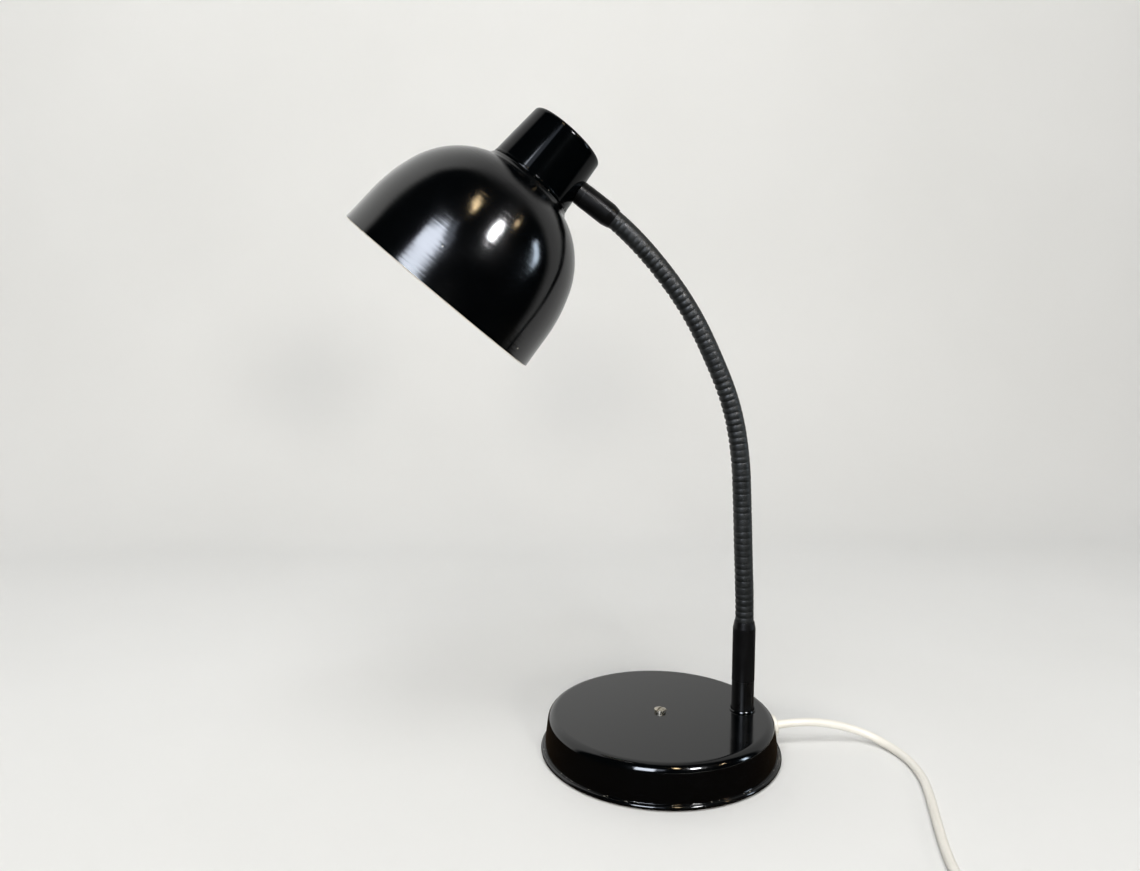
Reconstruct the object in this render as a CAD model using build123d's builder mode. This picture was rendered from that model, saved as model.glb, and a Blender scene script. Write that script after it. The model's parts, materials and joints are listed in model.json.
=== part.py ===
from build123d import *
import os
from math import atan, cos, degrees, pi, radians, sin, sqrt, tan

# Gooseneck desk lamp.  Millimetres and degrees.  +Z is up, the origin is the middle of the felt
# pad's underside, and the arm stands at +X and leans over towards -X in the XZ plane.

# --- driving dimensions -----------------------------------------------------------------------
# fits
fit_gap = 0.05            # radial gap of a pushed-in or turning fit
thread_gap = 0.1          # radial gap between a nut and its thread
hole_gap = 0.25           # radial gap of a drilled hole round its screw or stud
seat_gap = 0.1            # gap between rounded or soft faces that rest on each other
over = 1.0                # how far a cut runs past what it cuts

# base
base_d = 160.0            # over the rolled bead
base_h = 26.0             # table to the flat top
cover_shoulder_r = 5.5
cover_flare = 7.0         # the side leans out by this angle on its way down
cover_wall = 1.0
bead_d = 3.0
bead_lift = 0.5           # table to bead
bead_stand = 2.1          # how far the bead stands out from the side
felt_inset = 6.0          # bead's outside to the felt's edge
felt_t = 1.5
plate_t = 1.2
plate_gap = 0.2
weight_inset = 7.0        # bead's outside to the weight
weight_disc_t = 11.0
weight_edge = 3.5         # chamfer that clears the cover's shoulder
weight_foot_w = 7.0       # ring under the weight that meets the bottom plate
weight_web_t = 4.5        # iron left above the wiring pocket
pocket_reach = 38.0       # arm to the inner end of the wiring pocket
pocket_w = 52.0
plate_screw_count = 3
plate_screw_d = 3.0
plate_screw_head_d = 5.6
plate_screw_len = 6.0

# centre screw
screw_d = 4.0
screw_head_d = 7.8
screw_head_h = 2.6
screw_dome = 0.9          # how far the head is domed
screw_slot_w = 1.1
screw_slot_depth = 1.3
screw_slot_turn = 49.0
screw_len = 16.2
screw_nut_af = 7.0
screw_nut_t = 3.2

# arm: foot, hose and end
arm_inset = 24.0          # bead's outside to the arm's axis
post_h = 57.0             # flat top to the sleeve's shoulder
ferrule_d = 14.8
ferrule_spigot_d = 13.2
ferrule_bare_h = 21.0     # metal that shows under the lower sleeve
ferrule_socket_depth = 25.0
sleeve_d = 15.0
sleeve_cone_h = 5.0
sleeve_lip = 0.35         # wall left at the thin end of the cone
sleeve_step = 0.4         # ferrule's end to shoulder
conduit_d = 10.0          # bare hose inside the ferrules
lead_bore_d = 6.4
hose_d = 12.2             # over the ribs
rib_depth = 0.3
rib_pitch = 4.3
ball_neck = 2.0           # plain stretch beside each ball
ball_gap = 0.3            # ball to cup
hinge_pitch = 33.4
first_hinge = 16.0        # lower sleeve's shoulder to the first ball
last_run = 14.0           # last ball to the upper sleeve's shoulder
rest_bends = (3.0, -0.5, 0.5, 8.0, 11.5, 4.5, 9.0, 7.0, 10.3)
upper_sleeve_h = 19.0     # shoulder to the end of the plastic
collar_h = 3.2            # metal between the upper sleeve and the cap
head_socket_depth = 14.0
stud_d = 10.0             # hollow threaded ends of the arm
foot_stud_len = 12.0
stud_end = 0.6            # thread past the nut
nut_af = 17.0
foot_nut_t = 4.0
head_nut_t = 3.0
washer_d = 17.0
washer_t = 1.0
washer_teeth = 14
tooth_depth = 1.2

# shade and cap, heights along the shade's axis from the rim
neck_tilt = 3.5           # the arm meets the shade's axis this far from square
arm_to_rim = 103.2        # rim to the point where the arm's axis meets the shade's axis
rim_r = 71.0
skirt_lean = 4.0
skirt_len = 23.2
crown_lower_r = 105.0     # the crown is three arcs, each with a radius and a turn
crown_lower_turn = 17.0
crown_middle_r = 59.0
crown_middle_turn = 29.0
crown_upper_r = 51.0
crown_upper_turn = 17.0
neck_r = 7.4
neck_turn = 44.0
shade_wall = 1.0
cap_bottom_r = 28.7
cap_taper = 5.0
cap_h = 37.2
cap_corner_r = 2.6
cap_wall = 1.0

# lampholder and bulb
holder_d = 39.4           # threaded skirt of the holder
holder_bore_d = 29.0
holder_below = 25.0       # skirt under the shade's top
flange_d = 44.0
flange_h = 3.0
dome_d = 34.0
dome_h = 18.0
dome_corner_r = 5.0
dome_neck_d = 16.0
dome_neck_h = 6.0
dome_wall = 1.5
flange_web = 1.2          # flange left above the skirt's end
entry_d = 8.0             # hole in the dome for the conductors
ring_d = 52.0
ring_h = 6.0
ring_notches = 16
notch_d = 3.0
insert_h = 7.0
socket_bore_d = 26.8
socket_wall = 0.5
socket_h = 22.0
contact_t = 0.6
contact_w = 5.0
contact_len = 12.0
tab_y = 7.0
nipple_d = 10.0
nipple_bore_d = 7.0
nipple_len = 12.0
bracket_t = 1.5
bracket_w = 16.0
bracket_reach = 9.0       # past the shade's axis
bracket_drop = 8.0        # below the arm's axis
bulb_len = 76.0
bulb_d = 45.0
bulb_neck_d = 24.0
bulb_neck_blend_r = 12.0
bulb_wall = 0.8
bulb_cap_d = 26.2
bulb_cap_h = 18.0
bulb_cap_wall = 0.4
bulb_cone_h = 3.0
thread_pitch = 3.6
thread_depth = 0.7
tip_d = 9.0
tip_h = 1.2
core_d = 1.9              # one insulated conductor
core_pitch = 2.4
core_start = 2.0          # holder's conductors start this far outside the cap's radius
core_entry = 4.5          # their bend inside the dome, in from the dome's radius
core_hump = 1.2           # and how high it stands over the tabs
tip_flat = 1.0            # flat of the bulb's cap round its tip

# cord, grommet, clamp and terminal block
cord_d = 5.5
grommet_drop = 12.0       # flat top to the middle of the grommet
grommet_d = 12.0
grommet_t = 1.5
grommet_neck_d = 10.0
grommet_neck_len = 3.0
cord_straight = 14.0      # first run of the cord outside
cord_inner_run = 3.0      # and inside, past the grommet's neck
sheath_past = 2.5         # sheath past the clamp
block_reach = 26.0        # arm to the terminal block
block_l = 15.0
block_w = 14.0
block_h = 9.0
block_pitch = 7.5
block_bore_d = 3.2
block_screw_d = 3.4
block_screw_len = 3.4
block_screw_y = 3.6
block_screw_drop = 0.6    # recess of the screws
block_fixing_d = 2.5
block_core_depth = 5.0    # conductors go in this far
clamp_reach = 11.5        # arm to the clamp
clamp_y = -14.5
clamp_t = 1.0
clamp_w = 7.0
clamp_pitch = 13.0
clamp_ear_w = 6.5
clamp_screw_d = 2.9
clamp_screw_head_d = 5.2
clamp_screw_head_h = 1.8
clamp_screw_len = 4.0

# cord switch
switch_x = 124.0
switch_y = -222.0
switch_len = 60.0
switch_w = 22.0
switch_h = 16.0
switch_wall = 1.8
switch_end_r = 8.0
switch_edge_r = 2.5
switch_collar_d = 9.2     # grips the cord inside each end
switch_collar_len = 6.0
rocker_len = 16.0
rocker_w = 9.0
rocker_up = 5.6           # pivot to the ends of its top
rocker_down = 3.4         # pivot to its underside
rocker_foot_len = 6.0
rocker_dip = 1.2          # hollow of its top
rocker_tilt = 8.0         # either side of level
rocker_slack = 1.0        # opening past the rocker's ends
rocker_side_gap = 0.3
rocker_pivot_drop = 4.5   # cover's top to the pivot
rocker_pin_d = 2.0
cheek_t = 2.0
cheek_len = 7.0
switch_contact_l = 14.0
switch_contact_w = 6.0
switch_contact_t = 0.8
switch_contact_y = 9.0
switch_screw_d = 2.5
switch_screw_len = 9.0
switch_screw_head_d = 4.6
switch_screw_head_h = 1.6
switch_screw_recess = 3.0
switch_boss_d = 5.6
switch_screw_x = 5.4
switch_screw_y = 20.0

# coil and plug
coil_x = 66.0
coil_y = -251.0
coil_mid_r = 31.0
coil_rows = 4             # turns side by side on the table, with one less on top of them
coil_row_pitch = 5.55
coil_layer_pitch = 4.85
coil_corner_r = 2.0
tie_t = 0.8
tie_w = 6.0
tie_turn = 118.0          # where the tie is, round the coil from +X
plug_x = 2.0              # back of the plug's body
plug_y = -291.0
plug_w = 35.0
plug_back_w = 15.0
plug_t = 13.7
plug_len = 36.0
plug_wide_len = 17.0
plug_corner_r = 5.0
plug_edge_r = 3.0
relief_len = 22.0
relief_d = 9.6            # at the plug
relief_end_d = 7.0
relief_grooves = 4
groove_w = 1.4
groove_depth = 0.7
pin_d = 4.0
pin_core_d = 3.0          # inside its sleeve
pin_len = 19.0
pin_sleeve_d = 3.6
pin_sleeve_len = 10.0
pin_pitch = 18.6

# --- sizes worked out from them -----------------------------------------------------------------
cover_inside_z = base_h - cover_wall
plate_top = felt_t + plate_t
weight_r = base_d / 2 - weight_inset
disc_z = cover_inside_z - weight_disc_t
web_z = cover_inside_z - weight_web_t
bead_r = bead_d / 2
bead_centre = (base_d / 2 - bead_r, bead_lift + bead_r)
shoulder_end_z = base_h - cover_shoulder_r * (1 - sin(radians(cover_flare)))
cover_foot_r = base_d / 2 - bead_stand
cover_top_r = cover_foot_r - (shoulder_end_z - bead_centre[1]) * tan(radians(cover_flare))
arm_x = base_d / 2 - arm_inset
pocket_x = arm_x - pocket_reach
clamp_x = arm_x - clamp_reach
block_x = arm_x - block_reach
grommet_z = base_h - grommet_drop
hose_r = hose_d / 2
ball_r = hose_r - rib_depth
cup_r = ball_r + ball_gap
bore_r = lead_bore_d / 2
conduit_r = conduit_d / 2
stud_r = stud_d / 2
ferrule_r = ferrule_d / 2
spigot_r = ferrule_spigot_d / 2
cord_r = cord_d / 2
core_r = core_d / 2
shoulder_z = base_h + post_h


def leaning(lean):
    """Unit vector of an axis that leans from +Z towards -X."""
    return Vector(-sin(radians(lean)), 0, cos(radians(lean)))


def section(origin, lean):
    """Plane of the arm through a point; its local Y runs along the leaning axis."""
    return Plane(origin=origin, x_dir=(cos(radians(lean)), 0, sin(radians(lean))), z_dir=(0, -1, 0))


def across(origin, lean):
    """Plane square to the leaning axis."""
    x_dir = (cos(radians(lean)), 0, sin(radians(lean)))
    return Plane(origin=origin, x_dir=x_dir, z_dir=leaning(lean))


def corner_radii(points):
    """Radius for each corner of a cord: 0.45 of the shorter run over the tangent of half the turn."""
    places = [Vector(*point) for point in points]
    radii = []
    for before, here, after in zip(places, places[1:], places[2:]):
        turn = (here - before).get_angle(after - here)
        shorter = min((here - before).length, (after - here).length)
        radii.append(0.45 * shorter / tan(radians(turn) / 2))
    return radii


def tube(points, diameter):
    """Sweep a round cord or conductor along straight runs joined by tangent arcs."""
    with BuildLine(mode=Mode.PRIVATE) as route:
        FilletPolyline(*points, radius=corner_radii(points))
    path = route.wire()
    with BuildSketch(Plane(origin=path @ 0, z_dir=path % 0), mode=Mode.PRIVATE) as ring:
        Circle(diameter / 2)
    sweep(sections=ring.sketch, path=path)
    return path.length


def shade_curve():
    """Half outline of the shade from its rim to the top of its neck."""
    lean = radians(skirt_lean)
    curve = Line((rim_r, 0), (rim_r - skirt_len * sin(lean), skirt_len * cos(lean)))
    arcs = (
        (crown_lower_r, crown_lower_turn),
        (crown_middle_r, crown_middle_turn),
        (crown_upper_r, crown_upper_turn),
    )
    for radius, turn in arcs:
        curve = JernArc(curve @ 1, curve % 1, radius, turn)
    return JernArc(curve @ 1, curve % 1, neck_r, -neck_turn)


def ribs(low, high):
    """Ribbed outside of the hose from one height to another, groove to groove."""
    count = max(1, round((high - low) / rib_pitch))
    step = (high - low) / count
    for index in range(count):
        start = low + index * step
        ThreePointArc((ball_r, start), (hose_r, start + step / 2), (ball_r, start + step))


def ball_end(height):
    """Ball at the top of a link, from its equator to the bore."""
    turn = radians(45)
    middle = (ball_r * cos(turn), height + ball_r * sin(turn))
    ThreePointArc((ball_r, height), middle, (bore_r, height + sqrt(ball_r**2 - bore_r**2)))


def cup_end():
    """Cup at the bottom of a link, from the bore to the outside, round the ball at height 0."""
    rim = sqrt(cup_r**2 - ball_r**2)
    inner = sqrt(cup_r**2 - bore_r**2)
    turn = radians(40)
    ThreePointArc((bore_r, inner), (cup_r * cos(turn), cup_r * sin(turn)), (ball_r, rim))
    return rim


def keep(piece, name):
    """Label a finished piece and write it."""
    piece.part.label = name
    export_step(piece.part, f"parts/{name}.step")


# hinge points of the gooseneck, from the lower sleeve's shoulder to the upper sleeve's
hinges = [Vector(arm_x, 0, shoulder_z + first_hinge)]
leans = [0.0]
for index, bend in enumerate(rest_bends):
    leans.append(leans[-1] + bend)
    run = hinge_pitch if index < len(rest_bends) - 1 else last_run
    hinges.append(hinges[-1] + leaning(leans[-1]) * run)
head_shoulder = hinges.pop()
arm_lean = leans[-1]

# the head hangs from the arm's end: its axis crosses the arm's axis inside the cap
with BuildLine() as shade_outline:
    neck_curve = shade_curve()
neck_end = neck_curve @ 1
shade_top = neck_end.Y
cap_z = shade_top + seat_gap
cap_top = cap_z + cap_h
cap_arm_r = cap_bottom_r - (arm_to_rim - cap_z) * tan(radians(cap_taper))
wall_to_axis = cap_arm_r / cos(radians(neck_tilt))
shoulder_to_wall = upper_sleeve_h + collar_h
crossing = head_shoulder + leaning(arm_lean) * (shoulder_to_wall + wall_to_axis)
head_lean = arm_lean - 90 - neck_tilt
rim_centre = crossing - leaning(head_lean) * arm_to_rim
head_axis = Axis(rim_centre, leaning(head_lean))
head_section = section(rim_centre, head_lean)
end_axis = Axis(head_shoulder, leaning(arm_lean))
end_section = section(head_shoulder, arm_lean)
foot_axis = Axis((arm_x, 0, 0), (0, 0, 1))
foot_section = section((arm_x, 0, 0), 0)

os.makedirs("parts", exist_ok=True)


def head_across(height):
    """Plane square to the shade's axis at a height above the rim."""
    return across(rim_centre + leaning(head_lean) * height, head_lean)


def end_across(distance):
    """Plane square to the arm's end, at a distance past the upper sleeve's shoulder."""
    return across(head_shoulder + leaning(arm_lean) * distance, arm_lean)


# --- base ---------------------------------------------------------------------------------------
# where the grommet sits on the flared side, and the side's outward direction there
grommet_wall_r = cover_top_r + (shoulder_end_z - grommet_z) * tan(radians(cover_flare))
grommet_out = Plane(
    origin=(grommet_wall_r, 0, grommet_z),
    x_dir=(0, 1, 0),
    z_dir=(cos(radians(cover_flare)), 0, sin(radians(cover_flare))),
)

# pressed steel cover with a rolled bead
with BuildPart() as base_cover:
    with BuildSketch(Plane.XZ):
        with BuildLine():
            flat_r = cover_top_r - cover_shoulder_r * cos(radians(cover_flare))
            flat_top = Line((0, base_h), (flat_r, base_h))
            shoulder = JernArc(flat_top @ 1, flat_top % 1, cover_shoulder_r, cover_flare - 90)
            side_drop = (shoulder @ 1).Y - bead_centre[1]
            side_step = Vector(side_drop * tan(radians(cover_flare)), -side_drop)
            Line(shoulder @ 1, shoulder @ 1 + side_step)
            offset(amount=cover_wall, side=Side.RIGHT)
        make_face()
        with Locations(bead_centre):
            Circle(bead_r)
    revolve(axis=Axis.Z)
    with Locations((0, 0, base_h)):
        Hole(screw_d / 2 + hole_gap, depth=cover_wall)
    with Locations((arm_x, 0, base_h)):
        Hole(stud_r + hole_gap, depth=cover_wall)
    with BuildSketch(grommet_out.offset(-2 * cover_wall)):
        Circle(grommet_neck_d / 2 + fit_gap)
    extrude(amount=3 * cover_wall, mode=Mode.SUBTRACT)
keep(base_cover, "base_cover")

# cast iron weight with a ring foot and a pocket for the wiring
plate_screw_r = weight_r - weight_foot_w / 2
plate_screw_turn = 180 / plate_screw_count
clamp_screw_places = [(clamp_x, clamp_y + side * clamp_pitch / 2) for side in (-1, 1)]
with BuildPart() as base_weight:
    with BuildSketch(Plane.XY.offset(disc_z)):
        Circle(weight_r)
    extrude(amount=weight_disc_t)
    chamfer(base_weight.edges().group_by(Axis.Z)[-1], weight_edge)
    with BuildSketch(Plane.XY.offset(plate_top)):
        Circle(weight_r)
        Circle(weight_r - weight_foot_w, mode=Mode.SUBTRACT)
    extrude(amount=disc_z - plate_top)
    with BuildSketch(Plane.XY.offset(plate_top)):
        with Locations(((pocket_x + weight_r + over) / 2, 0)):
            Rectangle(weight_r + over - pocket_x, pocket_w)
    extrude(amount=web_z - plate_top, mode=Mode.SUBTRACT)
    with BuildSketch(Plane.XY.offset(web_z)):
        with Locations(*clamp_screw_places):
            Circle(clamp_screw_d / 2 + fit_gap)
        with Locations((block_x, 0)):
            Circle(block_fixing_d / 2 + fit_gap)
    extrude(amount=clamp_screw_len, mode=Mode.SUBTRACT)
    with Locations((0, 0, cover_inside_z)):
        Hole(screw_d / 2 + hole_gap, depth=weight_disc_t)
    with Locations((arm_x, 0, cover_inside_z)):
        Hole(stud_r + hole_gap, depth=weight_web_t)
    with BuildSketch(Plane.XY.offset(plate_top)):
        with PolarLocations(plate_screw_r, plate_screw_count, start_angle=plate_screw_turn):
            Circle(plate_screw_d / 2 + fit_gap)
    extrude(amount=plate_screw_len, mode=Mode.SUBTRACT)
keep(base_weight, "base_weight")

# bottom plate inside the bead, with countersunk holes, and its screws
with BuildPart() as base_plate:
    with BuildSketch(Plane.XY.offset(felt_t)):
        Circle(bead_centre[0] - bead_r - plate_gap)
    extrude(amount=plate_t)
    with Locations(Plane.XY.offset(felt_t)):
        with PolarLocations(plate_screw_r, plate_screw_count, start_angle=plate_screw_turn):
            Cone(plate_screw_head_d / 2 + fit_gap, plate_screw_d / 2 + fit_gap, plate_t,
                 align=(Align.CENTER, Align.CENTER, Align.MIN), mode=Mode.SUBTRACT)
keep(base_plate, "base_plate")

with BuildPart() as plate_screws:
    with Locations(Plane.XY.offset(felt_t)):
        with PolarLocations(plate_screw_r, plate_screw_count, start_angle=plate_screw_turn):
            Cone(plate_screw_head_d / 2, plate_screw_d / 2, plate_t,
                 align=(Align.CENTER, Align.CENTER, Align.MIN))
            Cylinder(plate_screw_d / 2, plate_screw_len,
                     align=(Align.CENTER, Align.CENTER, Align.MIN))
keep(plate_screws, "plate_screws")

with BuildPart() as felt_pad:
    with BuildSketch(Plane.XY):
        Circle(base_d / 2 - felt_inset)
    extrude(amount=felt_t)
keep(felt_pad, "felt_pad")

# slotted centre screw and nut that clamp the cover to the weight
screw_head_top = base_h + screw_head_h
with BuildPart() as centre_screw:
    with BuildSketch(Plane.XZ):
        with BuildLine():
            head_r = screw_head_d / 2
            rim_z = screw_head_top - screw_dome
            Polyline((0, screw_head_top), (0, base_h - screw_len), (screw_d / 2, base_h - screw_len),
                     (screw_d / 2, base_h), (head_r, base_h), (head_r, rim_z))
            dome_mid = (head_r / 2, screw_head_top - screw_dome / 4)
            ThreePointArc((head_r, rim_z), dome_mid, (0, screw_head_top))
        make_face()
    revolve(axis=Axis.Z)
    with BuildSketch(Plane.XY.offset(screw_head_top)):
        Rectangle(screw_head_d + over, screw_slot_w, rotation=screw_slot_turn)
    extrude(amount=-screw_slot_depth, mode=Mode.SUBTRACT)
keep(centre_screw, "centre_screw")

with BuildPart() as centre_nut:
    with BuildSketch(Plane.XY.offset(disc_z - screw_nut_t)):
        RegularPolygon(screw_nut_af / 2, 6, major_radius=False)
        Circle(screw_d / 2 + thread_gap, mode=Mode.SUBTRACT)
    extrude(amount=screw_nut_t)
keep(centre_nut, "centre_nut")

# --- foot of the arm ------------------------------------------------------------------------------
ferrule_top = shoulder_z - sleeve_step - seat_gap
socket_z = ferrule_top - ferrule_socket_depth
bare_top = base_h + ferrule_bare_h
stud_bottom = base_h - foot_stud_len
with BuildPart() as foot_ferrule:
    with BuildSketch(foot_section):
        with BuildLine():
            Polyline((bore_r, stud_bottom), (stud_r, stud_bottom), (stud_r, base_h),
                     (ferrule_r, base_h), (ferrule_r, bare_top), (spigot_r, bare_top),
                     (spigot_r, ferrule_top), (conduit_r + fit_gap, ferrule_top),
                     (conduit_r + fit_gap, socket_z), (bore_r, socket_z), close=True)
        make_face()
    revolve(axis=foot_axis)
keep(foot_ferrule, "foot_ferrule")


def sleeve_outline(start, shoulder, toward):
    """Plastic sleeve from its plain end to its cone; toward is 1 where the hose lies above."""
    outer_r = sleeve_d / 2
    hose_hole_r = hose_r + seat_gap
    thin_end = shoulder + toward * sleeve_cone_h
    step = shoulder - toward * sleeve_step
    Polyline((spigot_r + fit_gap, start), (outer_r, start), (outer_r, shoulder),
             (hose_hole_r + sleeve_lip, thin_end), (hose_hole_r, thin_end), (hose_hole_r, step),
             (spigot_r + fit_gap, step), close=True)


with BuildPart() as foot_sleeve:
    with BuildSketch(foot_section):
        with BuildLine():
            sleeve_outline(bare_top, shoulder_z, 1)
        make_face()
    revolve(axis=foot_axis)
keep(foot_sleeve, "foot_sleeve")

# toothed washer and thin nut under the weight's web
foot_washer_z = web_z - washer_t
with BuildPart() as foot_washer:
    with BuildSketch(Plane.XY.offset(foot_washer_z)):
        with Locations((arm_x, 0)):
            Circle(washer_d / 2)
            Circle(stud_r + thread_gap, mode=Mode.SUBTRACT)
            with PolarLocations(washer_d / 2, washer_teeth):
                Rectangle(2 * tooth_depth, tooth_depth, mode=Mode.SUBTRACT)
    extrude(amount=washer_t)
keep(foot_washer, "foot_washer")

with BuildPart() as foot_nut:
    with BuildSketch(Plane.XY.offset(foot_washer_z - foot_nut_t)):
        with Locations((arm_x, 0)):
            RegularPolygon(nut_af / 2, 6, major_radius=False)
            Circle(stud_r + thread_gap, mode=Mode.SUBTRACT)
    extrude(amount=foot_nut_t)
keep(foot_nut, "foot_nut")

# --- gooseneck: hollow ribbed links, each with a ball that turns in the next one's cup --------------
link_top = hinge_pitch - ball_neck
root_start = ferrule_top + seat_gap
with BuildPart() as gooseneck_link_0:
    with BuildSketch(foot_section):
        with BuildLine():
            first_ball = shoulder_z + first_hinge
            Polyline((bore_r, first_ball + sqrt(ball_r**2 - bore_r**2)), (bore_r, socket_z),
                     (conduit_r, socket_z), (conduit_r, root_start), (ball_r, root_start),
                     (ball_r, shoulder_z))
            ribs(shoulder_z, first_ball - ball_neck)
            Line((ball_r, first_ball - ball_neck), (ball_r, first_ball))
            ball_end(first_ball)
        make_face()
    revolve(axis=foot_axis)
keep(gooseneck_link_0, "gooseneck_link_0")

for index in range(1, len(rest_bends)):
    with BuildPart() as gooseneck_link:
        with BuildSketch(section(hinges[index - 1], leans[index])):
            with BuildLine():
                cup_rim = cup_end()
                ribs(cup_rim, link_top)
                Line((ball_r, link_top), (ball_r, hinge_pitch))
                ball_end(hinge_pitch)
                bore_top = hinge_pitch + sqrt(ball_r**2 - bore_r**2)
                Line((bore_r, bore_top), (bore_r, sqrt(cup_r**2 - bore_r**2)))
            make_face()
        revolve(axis=Axis(hinges[index - 1], leaning(leans[index])))
    keep(gooseneck_link, f"gooseneck_link_{index}")

# last link, pushed into the upper ferrule; heights run from the last ball
last_name = f"gooseneck_link_{len(rest_bends)}"
end_step = last_run + sleeve_step
end_socket = end_step + seat_gap + head_socket_depth
with BuildPart() as last_link:
    with BuildSketch(section(hinges[-1], arm_lean)):
        with BuildLine():
            cup_rim = cup_end()
            ribs(cup_rim, last_run)
            Polyline((ball_r, last_run), (ball_r, end_step), (conduit_r, end_step),
                     (conduit_r, end_socket), (bore_r, end_socket),
                     (bore_r, sqrt(cup_r**2 - bore_r**2)))
        make_face()
    revolve(axis=Axis(hinges[-1], leaning(arm_lean)))
keep(last_link, last_name)

# --- end of the arm -------------------------------------------------------------------------------
# distances along the arm's end from the upper sleeve's shoulder
inner_wall_r = cap_arm_r - cap_wall
washer_face = shoulder_to_wall + wall_to_axis - sqrt(inner_wall_r**2 - (washer_d / 2)**2) + seat_gap
washer_back = washer_face + washer_t
bracket_back = washer_back + bracket_t
nut_back = bracket_back + head_nut_t
stud_tip = nut_back + stud_end
spigot_start = sleeve_step + seat_gap
with BuildPart() as head_ferrule:
    with BuildSketch(end_section):
        with BuildLine():
            Polyline((bore_r, spigot_start + head_socket_depth),
                     (conduit_r + fit_gap, spigot_start + head_socket_depth),
                     (conduit_r + fit_gap, spigot_start), (spigot_r, spigot_start),
                     (spigot_r, upper_sleeve_h), (ferrule_r, upper_sleeve_h),
                     (ferrule_r, shoulder_to_wall + cap_wall + over),
                     (bore_r, shoulder_to_wall + cap_wall + over), close=True)
        make_face()
    revolve(axis=end_axis)
    with BuildSketch(head_section):
        with BuildLine():
            seat_r = cap_bottom_r + seat_gap
            seat_h = cap_h * tan(radians(cap_taper))
            Polyline((0, cap_z), (seat_r, cap_z), (seat_r - seat_h, cap_top), (0, cap_top),
                     close=True)
        make_face()
    revolve(axis=head_axis, mode=Mode.SUBTRACT)
    with BuildSketch(end_section):
        with BuildLine():
            Polyline((bore_r, spigot_start + head_socket_depth), (stud_r, shoulder_to_wall - over),
                     (stud_r, stud_tip), (bore_r, stud_tip), close=True)
        make_face()
    revolve(axis=end_axis)
keep(head_ferrule, "head_ferrule")

with BuildPart() as head_sleeve:
    with BuildSketch(end_section):
        with BuildLine():
            sleeve_outline(upper_sleeve_h, 0, -1)
        make_face()
    revolve(axis=end_axis)
keep(head_sleeve, "head_sleeve")

with BuildPart() as head_washer:
    with BuildSketch(end_across(washer_face)):
        Circle(washer_d / 2)
        Circle(stud_r + thread_gap, mode=Mode.SUBTRACT)
        with PolarLocations(washer_d / 2, washer_teeth):
            Rectangle(2 * tooth_depth, tooth_depth, mode=Mode.SUBTRACT)
    extrude(amount=washer_t)
keep(head_washer, "head_washer")

with BuildPart() as head_nut:
    with BuildSketch(end_across(bracket_back)):
        RegularPolygon(nut_af / 2, 6, major_radius=False)
        Circle(stud_r + thread_gap, mode=Mode.SUBTRACT)
    extrude(amount=head_nut_t)
keep(head_nut, "head_nut")

# --- shade and cap --------------------------------------------------------------------------------
hole_r = holder_d / 2 + hole_gap
with BuildPart() as shade:
    with BuildSketch(head_section):
        with BuildLine():
            shade_curve()
            Line(neck_end, (hole_r, shade_top))
            offset(amount=shade_wall, side=Side.LEFT)
        make_face()
    revolve(axis=head_axis)
keep(shade, "shade")

with BuildPart() as shade_cap:
    with BuildSketch(head_section):
        with BuildLine():
            taper = radians(cap_taper)
            wall_h = cap_h - cap_corner_r * (1 - sin(taper))
            wall_end = (cap_bottom_r - wall_h * tan(taper), cap_z + wall_h)
            cap_side = Line((cap_bottom_r, cap_z), wall_end)
            cap_corner = JernArc(cap_side @ 1, cap_side % 1, cap_corner_r, 90 - cap_taper)
            Line(cap_corner @ 1, (0, cap_top))
            offset(amount=cap_wall, side=Side.LEFT)
        make_face()
    revolve(axis=head_axis)
    with BuildSketch(end_across(shoulder_to_wall - cap_wall)):
        Circle(stud_r + hole_gap)
    extrude(amount=4 * cap_wall, mode=Mode.SUBTRACT)
keep(shade_cap, "shade_cap")

# --- lampholder -----------------------------------------------------------------------------------
flange_z = shade_top + seat_gap
flange_top = flange_z + flange_h
dome_top = flange_top + dome_h
bracket_z = dome_top + dome_neck_h
holder_r = holder_d / 2
dome_r = dome_d / 2
insert_z = flange_top - flange_web
skirt_top = insert_z - seat_gap
with BuildPart() as holder_skirt:
    with BuildSketch(head_section):
        with BuildLine():
            Polyline((holder_bore_d / 2, shade_top - holder_below),
                     (holder_r, shade_top - holder_below), (holder_r, skirt_top),
                     (holder_bore_d / 2, skirt_top), close=True)
        make_face()
    revolve(axis=head_axis)
keep(holder_skirt, "holder_skirt")

with BuildPart() as holder_dome:
    with BuildSketch(head_section):
        with BuildLine():
            inner_r = dome_r - dome_wall
            inner_top = dome_top - dome_wall
            Polyline((holder_r + fit_gap, flange_z), (flange_d / 2, flange_z),
                     (flange_d / 2, flange_top), (dome_r, flange_top),
                     (dome_r, dome_top - dome_corner_r))
            corner = JernArc((dome_r, dome_top - dome_corner_r), (0, 1), dome_corner_r, 90)
            Polyline(corner @ 1, (dome_neck_d / 2, dome_top), (dome_neck_d / 2, bracket_z),
                     (nipple_d / 2 + thread_gap, bracket_z), (nipple_d / 2 + thread_gap, inner_top),
                     (inner_r - dome_corner_r, inner_top), (inner_r, inner_top - dome_corner_r),
                     (inner_r, insert_z), (holder_r + fit_gap, insert_z),
                     (holder_r + fit_gap, flange_z))
        make_face()
    revolve(axis=head_axis)
    with BuildSketch(end_across(shoulder_to_wall + wall_to_axis - dome_r - over)):
        Circle(entry_d / 2)
    extrude(amount=dome_r / 2, mode=Mode.SUBTRACT)
keep(holder_dome, "holder_dome")

with BuildPart() as holder_insert:
    with BuildSketch(head_across(insert_z)):
        Circle(dome_r - dome_wall - fit_gap)
    extrude(amount=insert_h)
keep(holder_insert, "holder_insert")

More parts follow.
